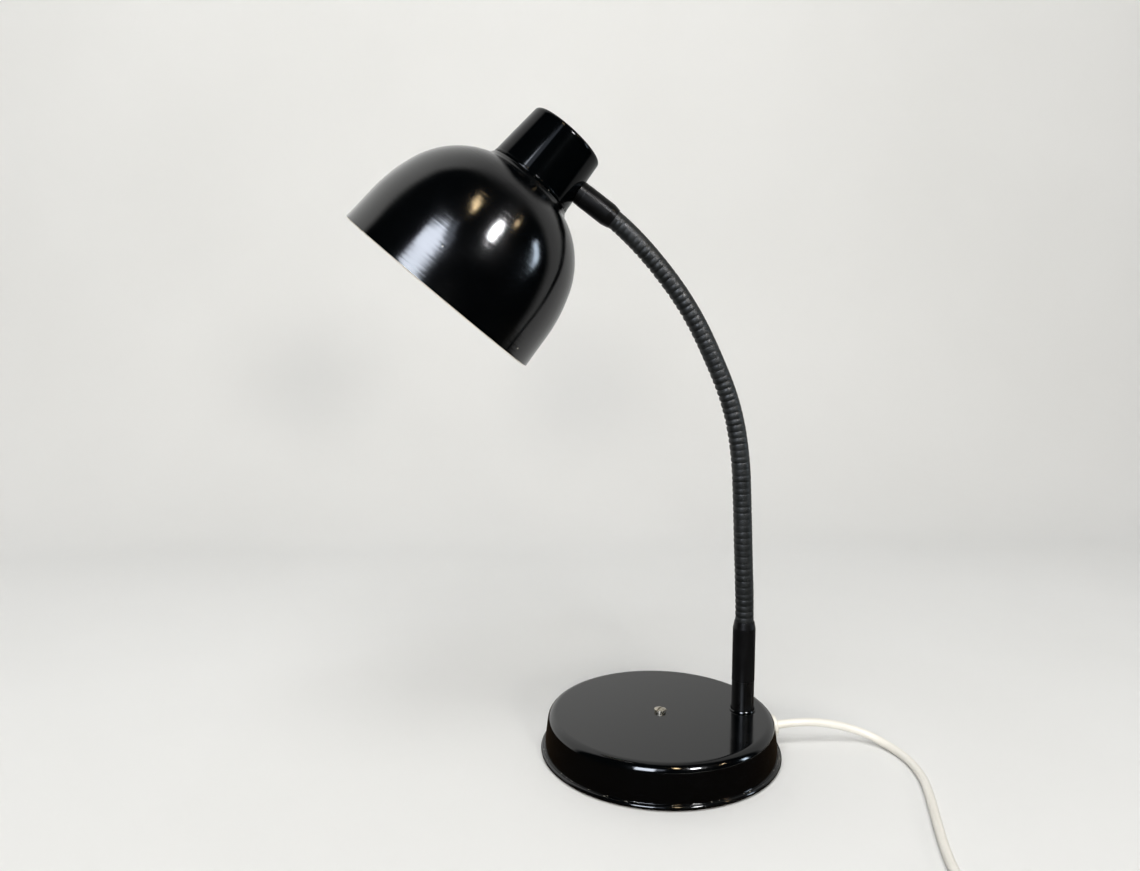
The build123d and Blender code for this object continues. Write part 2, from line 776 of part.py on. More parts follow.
socket_r = socket_bore_d / 2
with BuildPart() as screw_shell:
    with BuildSketch(head_section):
        with BuildLine():
            Polyline((socket_r, insert_z - socket_h), (socket_r + socket_wall, insert_z - socket_h),
                     (socket_r + socket_wall, insert_z), (socket_r, insert_z), close=True)
        make_face()
    revolve(axis=head_axis)
keep(screw_shell, "screw_shell")

# centre contact under the insert and a terminal tab for each conductor on top of it
with BuildPart() as holder_contacts:
    with BuildSketch(head_across(insert_z - contact_t)):
        Rectangle(contact_len, contact_w)
    extrude(amount=contact_t)
    with BuildSketch(head_across(insert_z + insert_h)):
        with Locations((contact_len / 3, tab_y), (contact_len / 3, -tab_y)):
            Rectangle(contact_len, contact_w)
    extrude(amount=contact_t)
keep(holder_contacts, "holder_contacts")

with BuildPart() as shade_ring:
    with BuildSketch(head_across(shade_top - shade_wall - ring_h)):
        Circle(ring_d / 2)
        Circle(holder_r + thread_gap, mode=Mode.SUBTRACT)
        with PolarLocations(ring_d / 2, ring_notches):
            Circle(notch_d / 2, mode=Mode.SUBTRACT)
    extrude(amount=ring_h)
keep(shade_ring, "shade_ring")

nipple_r = nipple_d / 2
with BuildPart() as holder_nipple:
    with BuildSketch(head_across(bracket_z - dome_neck_h)):
        Circle(nipple_r)
        Circle(nipple_bore_d / 2, mode=Mode.SUBTRACT)
    extrude(amount=nipple_len)
keep(holder_nipple, "holder_nipple")

# sheet bracket from the arm's nut to the nipple, bent over the holder
with BuildPart() as holder_bracket:
    with BuildSketch(head_section):
        with BuildLine():
            outer_face = wall_to_axis + shoulder_to_wall - washer_back
            foot_x = outer_face * cos(radians(neck_tilt))
            foot_h = arm_to_rim + outer_face * sin(radians(neck_tilt))
            slope = Vector(-sin(radians(neck_tilt)), cos(radians(neck_tilt)))
            rise = (bracket_z + bracket_t - foot_h) / slope.Y
            foot = Vector(foot_x, foot_h)
            Polyline(foot - slope * bracket_drop, foot + slope * rise,
                     (-bracket_reach, bracket_z + bracket_t))
            offset(amount=bracket_t, side=Side.LEFT)
        make_face()
    extrude(amount=bracket_w / 2, both=True)
    with BuildSketch(head_across(bracket_z - bracket_t)):
        Circle(nipple_r + hole_gap)
    extrude(amount=3 * bracket_t, mode=Mode.SUBTRACT)
    with BuildSketch(end_across(washer_back - bracket_t)):
        Circle(stud_r + hole_gap)
    extrude(amount=3 * bracket_t, mode=Mode.SUBTRACT)
keep(holder_bracket, "holder_bracket")

with BuildPart() as nipple_nut:
    with BuildSketch(head_across(bracket_z + bracket_t)):
        RegularPolygon(nut_af / 2, 6, major_radius=False)
        Circle(nipple_r + thread_gap, mode=Mode.SUBTRACT)
    extrude(amount=head_nut_t)
keep(nipple_nut, "nipple_nut")

# --- bulb -----------------------------------------------------------------------------------------
tip_top = insert_z - contact_t - seat_gap
cone_top = tip_top - tip_h
cap_shoulder = cone_top - bulb_cone_h
cap_foot = cap_shoulder - bulb_cap_h
globe_r = bulb_d / 2
globe_z = tip_top - bulb_len + globe_r
bulb_neck_r = bulb_neck_d / 2
blend_x = bulb_neck_r + bulb_neck_blend_r
blend_z = globe_z + sqrt((globe_r + bulb_neck_blend_r)**2 - blend_x**2)
blend_turn = degrees(atan((blend_z - globe_z) / blend_x))
with BuildPart() as bulb_glass:
    with BuildSketch(head_section):
        with BuildLine():
            neck_line = Line((bulb_neck_r, cap_shoulder - bulb_cap_h / 2), (bulb_neck_r, blend_z))
            blend = JernArc(neck_line @ 1, (0, -1), bulb_neck_blend_r, blend_turn)
            globe = JernArc(blend @ 1, blend % 1, globe_r, -(90 + blend_turn))
            offset(amount=bulb_wall, side=Side.RIGHT)
        make_face()
    revolve(axis=head_axis)
keep(bulb_glass, "bulb_glass")

with BuildPart() as bulb_cap:
    with BuildSketch(head_section):
        with BuildLine():
            cap_r = bulb_cap_d / 2
            turns = round(bulb_cap_h / thread_pitch)
            pitch = bulb_cap_h / turns
            for index in range(turns):
                low = cap_foot + index * pitch
                waist = cap_r - thread_depth
                ThreePointArc((waist, low), (cap_r, low + pitch / 2), (waist, low + pitch))
            inside = waist - bulb_cap_wall
            Polyline((waist, cap_shoulder), (tip_d / 2 + tip_flat, cone_top), (tip_d / 2, cone_top),
                     (inside, cap_shoulder - bulb_cap_wall), (inside, cap_foot), (waist, cap_foot))
        make_face()
    revolve(axis=head_axis)
keep(bulb_cap, "bulb_cap")

with BuildPart() as bulb_tip:
    with BuildSketch(head_across(cone_top)):
        Circle(tip_d / 2)
    extrude(amount=tip_h)
    fillet(bulb_tip.faces().sort_by(Axis(rim_centre, leaning(head_lean)))[-1].edges(), tip_h / 2)
keep(bulb_tip, "bulb_tip")

# two conductors from the arm's bore through the side of the dome to the terminal tabs
tab_h = insert_z + insert_h + contact_t + core_r + seat_gap
with BuildPart() as holder_cores:
    for side in (1, -1):
        entry_x = cap_arm_r + core_start
        entry_h = arm_to_rim + entry_x * tan(radians(neck_tilt))
        gate_h = arm_to_rim + dome_r * tan(radians(neck_tilt))
        route = (
            (entry_x, entry_h, side * core_pitch / 2),
            (dome_r + over, gate_h, side * core_pitch / 2),
            (dome_r - core_entry, tab_h + core_hump, side * tab_y / 2),
            (contact_len / 3, tab_h, side * tab_y),
        )
        tube([head_section.from_local_coords(Vector(x, h, y)) for x, h, y in route], core_d)
keep(holder_cores, "holder_cores")

# --- wiring in the base ---------------------------------------------------------------------------
# grommet seated on the cone of the cover's side, with its neck through the hole
lower_r = grommet_wall_r + grommet_z * tan(radians(cover_flare))
with BuildPart() as cord_grommet:
    with BuildSketch(grommet_out.offset(grommet_t)):
        Circle(grommet_d / 2)
    extrude(amount=-2 * grommet_t)
    fillet(cord_grommet.edges().group_by(Axis.X)[-1], grommet_t / 3)
    with BuildSketch(Plane.XZ):
        Polygon((0, 0), (lower_r + fit_gap, 0), (cover_top_r, shoulder_end_z), (0, shoulder_end_z),
                align=None)
    revolve(axis=Axis.Z, mode=Mode.SUBTRACT)
    with BuildSketch(grommet_out.offset(grommet_t / 3)):
        Circle(grommet_neck_d / 2)
    extrude(amount=-grommet_neck_len)
    with BuildSketch(grommet_out.offset(grommet_t)):
        Circle(cord_r + fit_gap)
    extrude(amount=-2 * grommet_neck_len, mode=Mode.SUBTRACT)
keep(cord_grommet, "cord_grommet")

cord_height = web_z - cord_r - seat_gap
out = grommet_out.z_dir
cord_exit = grommet_out.origin + out * grommet_t
sheath_end = clamp_x - clamp_w / 2 - sheath_past
inside_route = [
    cord_exit,
    cord_exit - out * (grommet_t + grommet_neck_len + cord_inner_run),
    Vector(arm_x + 11, -9, cord_height - 1.05),
    Vector(arm_x + 5, -13.6, cord_height - 0.45),
    Vector(arm_x - 3.5, clamp_y, cord_height),
    Vector(sheath_end, clamp_y, cord_height),
]
with BuildPart() as lead_inside:
    tube(inside_route, cord_d)
keep(lead_inside, "lead_inside")

# saddle that holds the cord up against the weight's web
with BuildPart() as cord_clamp:
    with BuildSketch(Plane.YZ.offset(clamp_x - clamp_w / 2)):
        with BuildLine():
            bow_r = cord_r + seat_gap
            ear = clamp_pitch / 2 + clamp_ear_w / 2
            Polyline((clamp_y - ear, web_z), (clamp_y - bow_r, web_z), (clamp_y - bow_r, cord_height))
            ThreePointArc((clamp_y - bow_r, cord_height), (clamp_y, cord_height - bow_r),
                          (clamp_y + bow_r, cord_height))
            Polyline((clamp_y + bow_r, cord_height), (clamp_y + bow_r, web_z), (clamp_y + ear, web_z))
            offset(amount=clamp_t, side=Side.RIGHT)
        make_face()
    extrude(amount=clamp_w)
    with BuildSketch(Plane.XY.offset(web_z)):
        with Locations(*clamp_screw_places):
            Circle(clamp_screw_d / 2 + fit_gap)
    extrude(amount=-clamp_t, mode=Mode.SUBTRACT)
keep(cord_clamp, "cord_clamp")

with BuildPart() as clamp_screws:
    with BuildSketch(Plane.XY.offset(web_z - clamp_t)):
        with Locations(*clamp_screw_places):
            Circle(clamp_screw_head_d / 2)
    extrude(amount=-clamp_screw_head_h)
    with BuildSketch(Plane.XY.offset(web_z - clamp_t)):
        with Locations(*clamp_screw_places):
            Circle(clamp_screw_d / 2)
    extrude(amount=clamp_screw_len)
keep(clamp_screws, "clamp_screws")

# two-way terminal block under the web; bores along Y, clamping screws from below
block_bottom = web_z - block_h
block_mid = web_z - block_h / 2
way_places = [block_x - block_pitch / 2, block_x + block_pitch / 2]
block_screw_places = [(x, side * block_screw_y) for x in way_places for side in (-1, 1)]
with BuildPart() as terminal_block:
    with BuildSketch(Plane.XY.offset(block_bottom)):
        with Locations((block_x, 0)):
            Rectangle(block_l, block_w)
            Circle(block_fixing_d / 2 + fit_gap, mode=Mode.SUBTRACT)
    extrude(amount=block_h)
    with BuildSketch(Plane.XZ.offset(-block_w / 2)):
        with Locations(*[(x, block_mid) for x in way_places]):
            Circle(block_bore_d / 2)
    extrude(amount=block_w, mode=Mode.SUBTRACT)
    with BuildSketch(Plane.XY.offset(block_bottom)):
        with Locations(*block_screw_places):
            Circle(block_screw_d / 2 + fit_gap)
    extrude(amount=block_h / 2, mode=Mode.SUBTRACT)
keep(terminal_block, "terminal_block")

clamped_z = block_mid - core_r - seat_gap
with BuildPart() as terminal_screws:
    with BuildSketch(Plane.XY.offset(clamped_z)):
        with Locations(*block_screw_places):
            Circle(block_screw_d / 2)
    extrude(amount=-block_screw_len + block_screw_drop)
    with BuildSketch(Plane.XY.offset(block_bottom - clamp_screw_head_h)):
        with Locations((block_x, 0)):
            Circle(clamp_screw_head_d / 2)
    extrude(amount=clamp_screw_head_h)
    with BuildSketch(Plane.XY.offset(block_bottom)):
        with Locations((block_x, 0)):
            Circle(block_fixing_d / 2)
    extrude(amount=block_h + clamp_screw_len - clamp_t)
keep(terminal_screws, "terminal_screws")

# conductors: from the sheath's end, and from the arm's bore, into the block
near_x = way_places[1]
far_x = way_places[0]
core_in = block_w / 2 - block_core_depth
bore_mouth = stud_bottom + 2
mains_y = clamp_y + core_pitch / 2
mains_low_y = clamp_y - core_pitch / 2
core_routes = (
    ((sheath_end, mains_y, cord_height), (sheath_end - 2, mains_y, cord_height),
     (near_x + 0.6, clamp_y + 3, block_mid + 0.5), (near_x, clamp_y + 5.5, block_mid),
     (near_x, -core_in, block_mid)),
    ((sheath_end, mains_low_y, cord_height), (sheath_end - 6, mains_low_y, cord_height),
     (far_x + 1.2, clamp_y + 0.5, block_mid + 0.6), (far_x, clamp_y + 4, block_mid),
     (far_x, -core_in, block_mid)),
    ((arm_x, core_pitch / 2, bore_mouth), (arm_x, core_pitch / 2, plate_top + 3.9),
     (arm_x - 9, 10, plate_top + 3.9), (arm_x - 17.5, 14.5, block_mid - 3),
     (near_x, 13.5, block_mid), (near_x, core_in, block_mid)),
    ((arm_x, -core_pitch / 2, bore_mouth), (arm_x, -core_pitch / 2, plate_top + 1.6),
     (arm_x - 10, 10, plate_top + 1.6), (arm_x - 22, 18, block_mid - 4),
     (far_x, 15, block_mid), (far_x, core_in, block_mid)),
)
with BuildPart() as base_cores:
    for route in core_routes:
        tube(route, core_d)
keep(base_cores, "base_cores")

# --- free cord: lamp to switch ----------------------------------------------------------------------
switch_end_y = switch_y + switch_len / 2
switch_far_y = switch_y - switch_len / 2
switch_mid_z = switch_h / 2
lamp_side_route = [
    cord_exit,
    cord_exit + out * cord_straight,
    (110, 0.3, 14.4),
    (127, -0.8, 10.4),
    (140.4, -6.2, 5.6),
    (150.8, -17, 3),
    (156.4, -32.5, 2.75),
    (155, -56, 2.75),
    (148, -82, 2.75),
    (138, -113, 2.75),
    (130.5, -138, 2.75),
    (126.4, -158, 3.6),
    (switch_x, -176.5, switch_mid_z),
    (switch_x, switch_end_y - switch_collar_len + 1, switch_mid_z),
]
with BuildPart() as lead_lamp_side:
    lamp_side_length = tube(lamp_side_route, cord_d)
keep(lead_lamp_side, "lead_lamp_side")

# --- cord switch ------------------------------------------------------------------------------------
screw_places = [
    (switch_x + side * switch_screw_x, switch_y + side * switch_screw_y) for side in (-1, 1)
]
pivot_z = switch_h - rocker_pivot_drop
with BuildPart() as switch_shell:
    with BuildSketch():
        with Locations((switch_x, switch_y)):
            RectangleRounded(switch_w, switch_len, switch_end_r)
    extrude(amount=switch_h)
    levels = switch_shell.faces().group_by(Axis.Z)
    fillet(levels[0].edges() + levels[-1].edges(), switch_edge_r)
    with BuildSketch(Plane.XY.offset(switch_wall)):
        with Locations((switch_x, switch_y)):
            RectangleRounded(switch_w - 2 * switch_wall, switch_len - 2 * switch_wall,
                             switch_end_r - switch_wall)
    extrude(amount=switch_h - 2 * switch_wall, mode=Mode.SUBTRACT)
    for end_y, inward in ((switch_end_y - switch_wall, 1), (switch_far_y + switch_wall, -1)):
        with BuildSketch(Plane.XZ.offset(-end_y)):
            with Locations((switch_x, switch_mid_z)):
                Circle(switch_collar_d / 2)
        extrude(amount=inward * (switch_collar_len - switch_wall))
    with BuildSketch(Plane.XY.offset(switch_wall)):
        with Locations(*screw_places):
            Circle(switch_boss_d / 2)
    extrude(amount=switch_h - 2 * switch_wall)
    with BuildSketch(Plane.XZ.offset(-switch_end_y)):
        with Locations((switch_x, switch_mid_z)):
            Circle(cord_r + fit_gap)
    extrude(amount=switch_collar_len, mode=Mode.SUBTRACT)
    with BuildSketch(Plane.XZ.offset(-switch_far_y)):
        with Locations((switch_x, switch_mid_z)):
            Circle(cord_r + fit_gap)
    extrude(amount=-switch_collar_len, mode=Mode.SUBTRACT)
    with BuildSketch():
        with Locations(*screw_places):
            Circle(switch_screw_head_d / 2 + hole_gap)
    extrude(amount=switch_screw_recess, mode=Mode.SUBTRACT)
    with BuildSketch():
        with Locations(*screw_places):
            Circle(switch_screw_d / 2 + fit_gap)
    extrude(amount=switch_screw_recess + switch_screw_len, mode=Mode.SUBTRACT)

with BuildPart() as switch_base:
    add(switch_shell.part)
    split(bisect_by=Plane.XY.offset(switch_mid_z), keep=Keep.BOTTOM)
keep(switch_base, "switch_base")

# cover with the rocker's opening and two cheeks that carry its pins
cheek_x = rocker_w / 2 + rocker_side_gap + cheek_t / 2
pin_axis_plane = Plane.YZ.offset(switch_x - cheek_x - cheek_t / 2)
with BuildPart() as switch_cover:
    add(switch_shell.part)
    split(bisect_by=Plane.XY.offset(switch_mid_z), keep=Keep.TOP)
    with BuildSketch(Plane.XY.offset(switch_h)):
        with Locations((switch_x, switch_y)):
            Rectangle(rocker_w + 2 * rocker_side_gap, rocker_len + 2 * rocker_slack)
    extrude(amount=-2 * switch_wall, mode=Mode.SUBTRACT)
    with BuildSketch(Plane.XY.offset(switch_h - switch_wall)):
        with Locations((switch_x - cheek_x, switch_y), (switch_x + cheek_x, switch_y)):
            Rectangle(cheek_t, cheek_len)
    extrude(amount=-(switch_h - switch_wall - pivot_z + rocker_pin_d))
    with BuildSketch(pin_axis_plane):
        with Locations((switch_y, pivot_z)):
            Circle(rocker_pin_d / 2 + fit_gap)
    extrude(amount=2 * cheek_x + cheek_t, mode=Mode.SUBTRACT)
keep(switch_cover, "switch_cover")

with BuildPart() as switch_rocker:
    rocker_plane = Plane(origin=(switch_x - rocker_w / 2, switch_y, pivot_z),
                         x_dir=(0, cos(radians(rocker_tilt)), sin(radians(rocker_tilt))),
                         z_dir=(1, 0, 0))
    with BuildSketch(rocker_plane):
        with BuildLine():
            half = rocker_len / 2
            foot_half = rocker_foot_len / 2
            ThreePointArc((-half, rocker_up), (0, rocker_up - rocker_dip), (half, rocker_up))
            Polyline((half, rocker_up), (half, 0), (foot_half, -rocker_down),
                     (-foot_half, -rocker_down), (-half, 0), (-half, rocker_up))
        make_face()
    extrude(amount=rocker_w)
    with BuildSketch(pin_axis_plane):
        with Locations((switch_y, pivot_z)):
            Circle(rocker_pin_d / 2)
    extrude(amount=2 * cheek_x + cheek_t)
keep(switch_rocker, "switch_rocker")

with BuildPart() as switch_contacts:
    with BuildSketch(Plane.XY.offset(switch_wall)):
        with Locations((switch_x, switch_y - switch_contact_y), (switch_x, switch_y + switch_contact_y)):
            Rectangle(switch_contact_w, switch_contact_l)
    extrude(amount=switch_contact_t)
keep(switch_contacts, "switch_contacts")

with BuildPart() as switch_screws:
    with BuildSketch(Plane.XY.offset(switch_screw_recess)):
        with Locations(*screw_places):
            Circle(switch_screw_head_d / 2)
    extrude(amount=-switch_screw_head_h)
    with BuildSketch(Plane.XY.offset(switch_screw_recess)):
        with Locations(*screw_places):
            Circle(switch_screw_d / 2)
    extrude(amount=switch_screw_len)
keep(switch_screws, "switch_screws")

# --- free cord: switch to plug, with its spare length in a tied coil ----------------------------------
coil_lift = tie_t + seat_gap
lower_z = coil_lift + cord_r
upper_z = lower_z + coil_layer_pitch
outer_turn_r = coil_mid_r + (coil_rows - 1) * coil_row_pitch / 2
upper_turn_r = outer_turn_r - coil_row_pitch / 2
plug_z = plug_t / 2
relief_end_x = plug_x + relief_len
plug_side_route = [
    (switch_x, switch_far_y + switch_collar_len - 1, switch_mid_z),
    (switch_x, -259, switch_mid_z),
    (120.5, -270.5, 6.4),
    (113.3, -280.3, 3.9),
    (103.3, -287.4, 2.75),
    (91.3, -291.3, 2.75),
    (79, -290.7, 3.3),
    (68, coil_y - outer_turn_r, lower_z),
]
with BuildPart() as lead_plug_side:
    plug_side_length = tube(plug_side_route, cord_d)
keep(lead_plug_side, "lead_plug_side")

coil_plane = Plane(origin=(coil_x, coil_y, 0), x_dir=(1, 0, 0), z_dir=(0, -1, 0))
coil_axis = Axis((coil_x, coil_y, 0), (0, 0, 1))


def coil_outline():
    """Outside of the coil's turns in its own radius and height."""
    inner = 2 * coil_mid_r - outer_turn_r - cord_r
    outer = outer_turn_r + cord_r
    top = upper_z + cord_r
    step = coil_row_pitch / 2
    Polygon((inner, coil_lift), (outer, coil_lift), (outer, lower_z + cord_r), (outer - step, top),
            (inner + step, top), (inner, lower_z + cord_r), align=None)


with BuildPart() as lead_coil:
    with BuildSketch(coil_plane) as coil_section:
        coil_outline()
        fillet(coil_section.vertices(), coil_corner_r)
    revolve(axis=coil_axis)
keep(lead_coil, "lead_coil")

tie_arc = degrees(tie_w / coil_mid_r)
with BuildPart() as coil_tie:
    with BuildSketch(coil_plane.rotated((0, 0, tie_turn))) as tie_section:
        coil_outline()
        fillet(tie_section.vertices(), coil_corner_r)
        offset(amount=tie_t + seat_gap)
        with BuildSketch(mode=Mode.SUBTRACT) as tie_inside:
            coil_outline()
            fillet(tie_inside.vertices(), coil_corner_r)
            offset(amount=seat_gap)
    revolve(axis=coil_axis, revolution_arc=tie_arc)
keep(coil_tie, "coil_tie")

tail_route = [
    (63, coil_y - upper_turn_r, upper_z),
    (52.5, -288, 9.9),
    (42, -289.6, 8.6),
    (33, plug_y, plug_z),
    (relief_end_x, plug_y, plug_z),
]
with BuildPart() as lead_tail:
    tail_length = tube(tail_route, cord_d)
keep(lead_tail, "lead_tail")

# flat two-pin plug with a grooved strain relief
pin_places = [(plug_y - pin_pitch / 2, plug_z), (plug_y + pin_pitch / 2, plug_z)]
front_x = plug_x - plug_len
with BuildPart() as plug_body:
    with BuildSketch():
        wide = plug_w / 2
        narrow = plug_back_w / 2
        shoulder_x = front_x + plug_wide_len
        Polygon((front_x, plug_y - wide), (shoulder_x, plug_y - wide), (plug_x, plug_y - narrow),
                (plug_x, plug_y + narrow), (shoulder_x, plug_y + wide), (front_x, plug_y + wide),
                align=None)
    extrude(amount=plug_t)
    fillet(plug_body.edges().filter_by(Axis.Z), plug_corner_r)
    flats = plug_body.faces().filter_by(Axis.Z)
    fillet(flats.edges(), plug_edge_r)
    with BuildSketch(Plane(origin=(plug_x, plug_y, plug_z), x_dir=(1, 0, 0), z_dir=(0, -1, 0))):
        with BuildLine():
            taper_per_mm = (relief_d - relief_end_d) / 2 / relief_len
            groove_pitch = relief_len / (relief_grooves + 1)
            corners = [(-plug_corner_r, 0), (-plug_corner_r, relief_d / 2), (0, relief_d / 2)]
            for index in range(relief_grooves):
                start = (index + 0.7) * groove_pitch
                outer_r = relief_d / 2 - taper_per_mm * start
                corners += [(start, outer_r), (start, outer_r - groove_depth)]
                corners += [(start + groove_w, outer_r - groove_depth), (start + groove_w, outer_r)]
            corners += [(relief_len, relief_end_d / 2), (relief_len, 0)]
            Polyline(*corners, close=True)
        make_face()
    revolve(axis=Axis((plug_x, plug_y, plug_z), (1, 0, 0)))
    with BuildSketch(Plane.YZ.offset(front_x)):
        with Locations(*pin_places):
            Circle(pin_sleeve_d / 2)
    extrude(amount=-pin_sleeve_len)
    with BuildSketch(Plane.YZ.offset(front_x - pin_sleeve_len)):
        with Locations(*pin_places):
            Circle(pin_core_d / 2 + fit_gap)
    extrude(amount=pin_sleeve_len + plug_wide_len / 2, mode=Mode.SUBTRACT)
keep(plug_body, "plug_body")

with BuildPart() as plug_pins:
    with BuildSketch(Plane.YZ.offset(front_x - pin_len)):
        with Locations(*pin_places):
            Circle(pin_d / 2)
    extrude(amount=pin_len - pin_sleeve_len)
    fillet(plug_pins.edges().group_by(Axis.X)[0], pin_d / 4)
    with BuildSketch(Plane.YZ.offset(front_x - pin_sleeve_len)):
        with Locations(*pin_places):
            Circle(pin_core_d / 2)
    extrude(amount=pin_sleeve_len + plug_wide_len / 2)
keep(plug_pins, "plug_pins")

# lengths and radii of the free cord, and each tube's volume against its section times its length
coil_length = 0.0
for row in range(coil_rows):
    coil_length += 2 * pi * (outer_turn_r - row * coil_row_pitch)
for row in range(coil_rows - 1):
    coil_length += 2 * pi * (upper_turn_r - row * coil_row_pitch)
print("lamp to switch", round(lamp_side_length), "switch to plug",
      round(plug_side_length + coil_length + tail_length), "of it coiled", round(coil_length))
cord_section = pi * cord_r**2
for piece, route, length in (
    (lead_lamp_side, lamp_side_route, lamp_side_length),
    (lead_plug_side, plug_side_route, plug_side_length),
    (lead_tail, tail_route, tail_length),
):
    ratio = piece.part.volume / (cord_section * length)
    print(piece.part.label, "volume ratio", round(ratio, 4),
          "radii", [round(radius) for radius in corner_radii(route)])
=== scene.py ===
# %% [markdown]
# # A gooseneck desk lamp
#
# The lamp's solids, their places and their joints are already packed as a frame.  This notebook
# dresses that frame: it gives each visible part the shape, edge and finish that the real part gets
# from spinning, pressing, moulding or enamelling.  Lengths are in millimetres until the last step of
# each piece, where one matrix puts it in its place in metres.

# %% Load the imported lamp
import json
import math
import random

import bmesh
import bpy
from mathutils import Matrix, Vector


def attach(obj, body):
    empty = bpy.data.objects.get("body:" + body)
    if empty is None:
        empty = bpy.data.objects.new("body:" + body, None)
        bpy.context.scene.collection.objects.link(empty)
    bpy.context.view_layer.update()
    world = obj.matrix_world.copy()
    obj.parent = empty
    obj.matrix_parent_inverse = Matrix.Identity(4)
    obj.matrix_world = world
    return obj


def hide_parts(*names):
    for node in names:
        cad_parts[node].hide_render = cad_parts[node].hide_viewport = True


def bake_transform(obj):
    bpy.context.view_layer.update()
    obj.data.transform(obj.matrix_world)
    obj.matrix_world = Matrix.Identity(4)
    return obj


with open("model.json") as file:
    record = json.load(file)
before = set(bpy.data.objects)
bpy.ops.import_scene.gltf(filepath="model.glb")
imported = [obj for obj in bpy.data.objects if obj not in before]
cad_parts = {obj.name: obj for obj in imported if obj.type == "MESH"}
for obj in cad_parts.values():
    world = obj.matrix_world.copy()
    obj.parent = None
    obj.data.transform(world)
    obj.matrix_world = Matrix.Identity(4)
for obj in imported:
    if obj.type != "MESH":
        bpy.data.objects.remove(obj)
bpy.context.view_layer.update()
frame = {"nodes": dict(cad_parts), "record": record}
nodes = frame["nodes"]
MM = 0.001

# %% [markdown]
# ## Camera
#
# A lamp on a table is usually seen from a little above the table's edge.  The camera stands 55 cm in
# front of the lamp, level with the shade, and looks down by six degrees.  Its lens has the view of a
# telephone's main camera, so the base shows more of its top than a long lens would show.

# %% Camera
LENS_MM = 27.158
CAMERA_PLACE = Vector((-92.92, -549.50, 274.88))
CAMERA_AIM = Vector((0.0581, 0.992, -0.1118))
camera_data = bpy.data.cameras.new("camera")
camera_data.sensor_width = 36
camera_data.lens = LENS_MM
camera_data.clip_start = 0.01
camera = bpy.data.objects.new("camera", camera_data)
camera.location = CAMERA_PLACE * MM
camera.rotation_mode = "QUATERNION"
camera.rotation_quaternion = CAMERA_AIM.to_track_quat("-Z", "Y")
bpy.context.scene.collection.objects.link(camera)
bpy.context.scene.camera = camera
print("camera at", [round(x, 3) for x in camera.location])

# %% [markdown]
# ## Materials: a few small tools
#
# Colours are easier to read as sRGB hex, but a shader wants linear values, so one function converts
# them.  A second one adds a node, sets it up and links other nodes into it.  The others mix two
# colours, start a material and link what was made into its shader.  Everything else is written out,
# material by material, because each finish has its own reasons.

# %% Colour and node tools
def linear(code):
    """Turn an sRGB hex colour into the linear red, green, blue and alpha that shaders use."""
    channels = []
    for place in (1, 3, 5):
        value = int(code[place:place + 2], 16) / 255
        channels.append(value / 12.92 if value <= 0.04045 else ((value + 0.055) / 1.055) ** 2.4)
    return (*channels, 1)


def add_node(material, kind, values=None, links=None, **settings):
    """Add a node with its settings, the values of its inputs, and links into its inputs."""
    tree = material.node_tree
    node = tree.nodes.new(kind)
    for name, value in settings.items():
        setattr(node, name, value)
    for name, value in (values or {}).items():
        node.inputs[name].default_value = value
    for name, output in (links or {}).items():
        tree.links.new(output, node.inputs[name])
    return node


def add_mix(material, dark, light, factor):
    """Mix two hex colours by a factor from a node, and give the mixed colour's socket."""
    node = add_node(material, "ShaderNodeMix", data_type="RGBA")
    for socket in node.inputs:
        if socket.enabled and socket.name in ("A", "B"):
            socket.default_value = linear(dark if socket.name == "A" else light)
        elif socket.enabled and socket.name == "Factor":
            material.node_tree.links.new(factor, socket)
    return [socket for socket in node.outputs if socket.enabled][0]


def start_material(name, colour, roughness, **sockets):
    """A new material with one Principled shader, and the sockets that are the same all over."""
    material = bpy.data.materials.new(name)
    material.use_nodes = True
    shader = material.node_tree.nodes["Principled BSDF"]
    shader.inputs["Base Color"].default_value = linear(colour)
    shader.inputs["Roughness"].default_value = roughness
    for socket, value in sockets.items():
        shader.inputs[socket.replace("_", " ")].default_value = value
    return material, shader


def into(material, shader, **outputs):
    """Link node outputs into the shader's sockets."""
    for socket, output in outputs.items():
        material.node_tree.links.new(output, shader.inputs[socket.replace("_", " ")])

# %% [markdown]
# ## Pieces: two small tools
#
# Most parts of a lamp are turned: a sheet is spun over a form, or a bar is cut on a lathe.  The
# outline tool draws half of such a part as the lathe sees it, in straight and round stretches.  A
# round stretch is one vertex spun about a centre, so it stays tangent to what comes before.  Near its
# ends a straight stretch gets a close extra vertex, which keeps smooth shading off the flat part.

# %% Outline tool
FULL_TURN = math.radians(360)


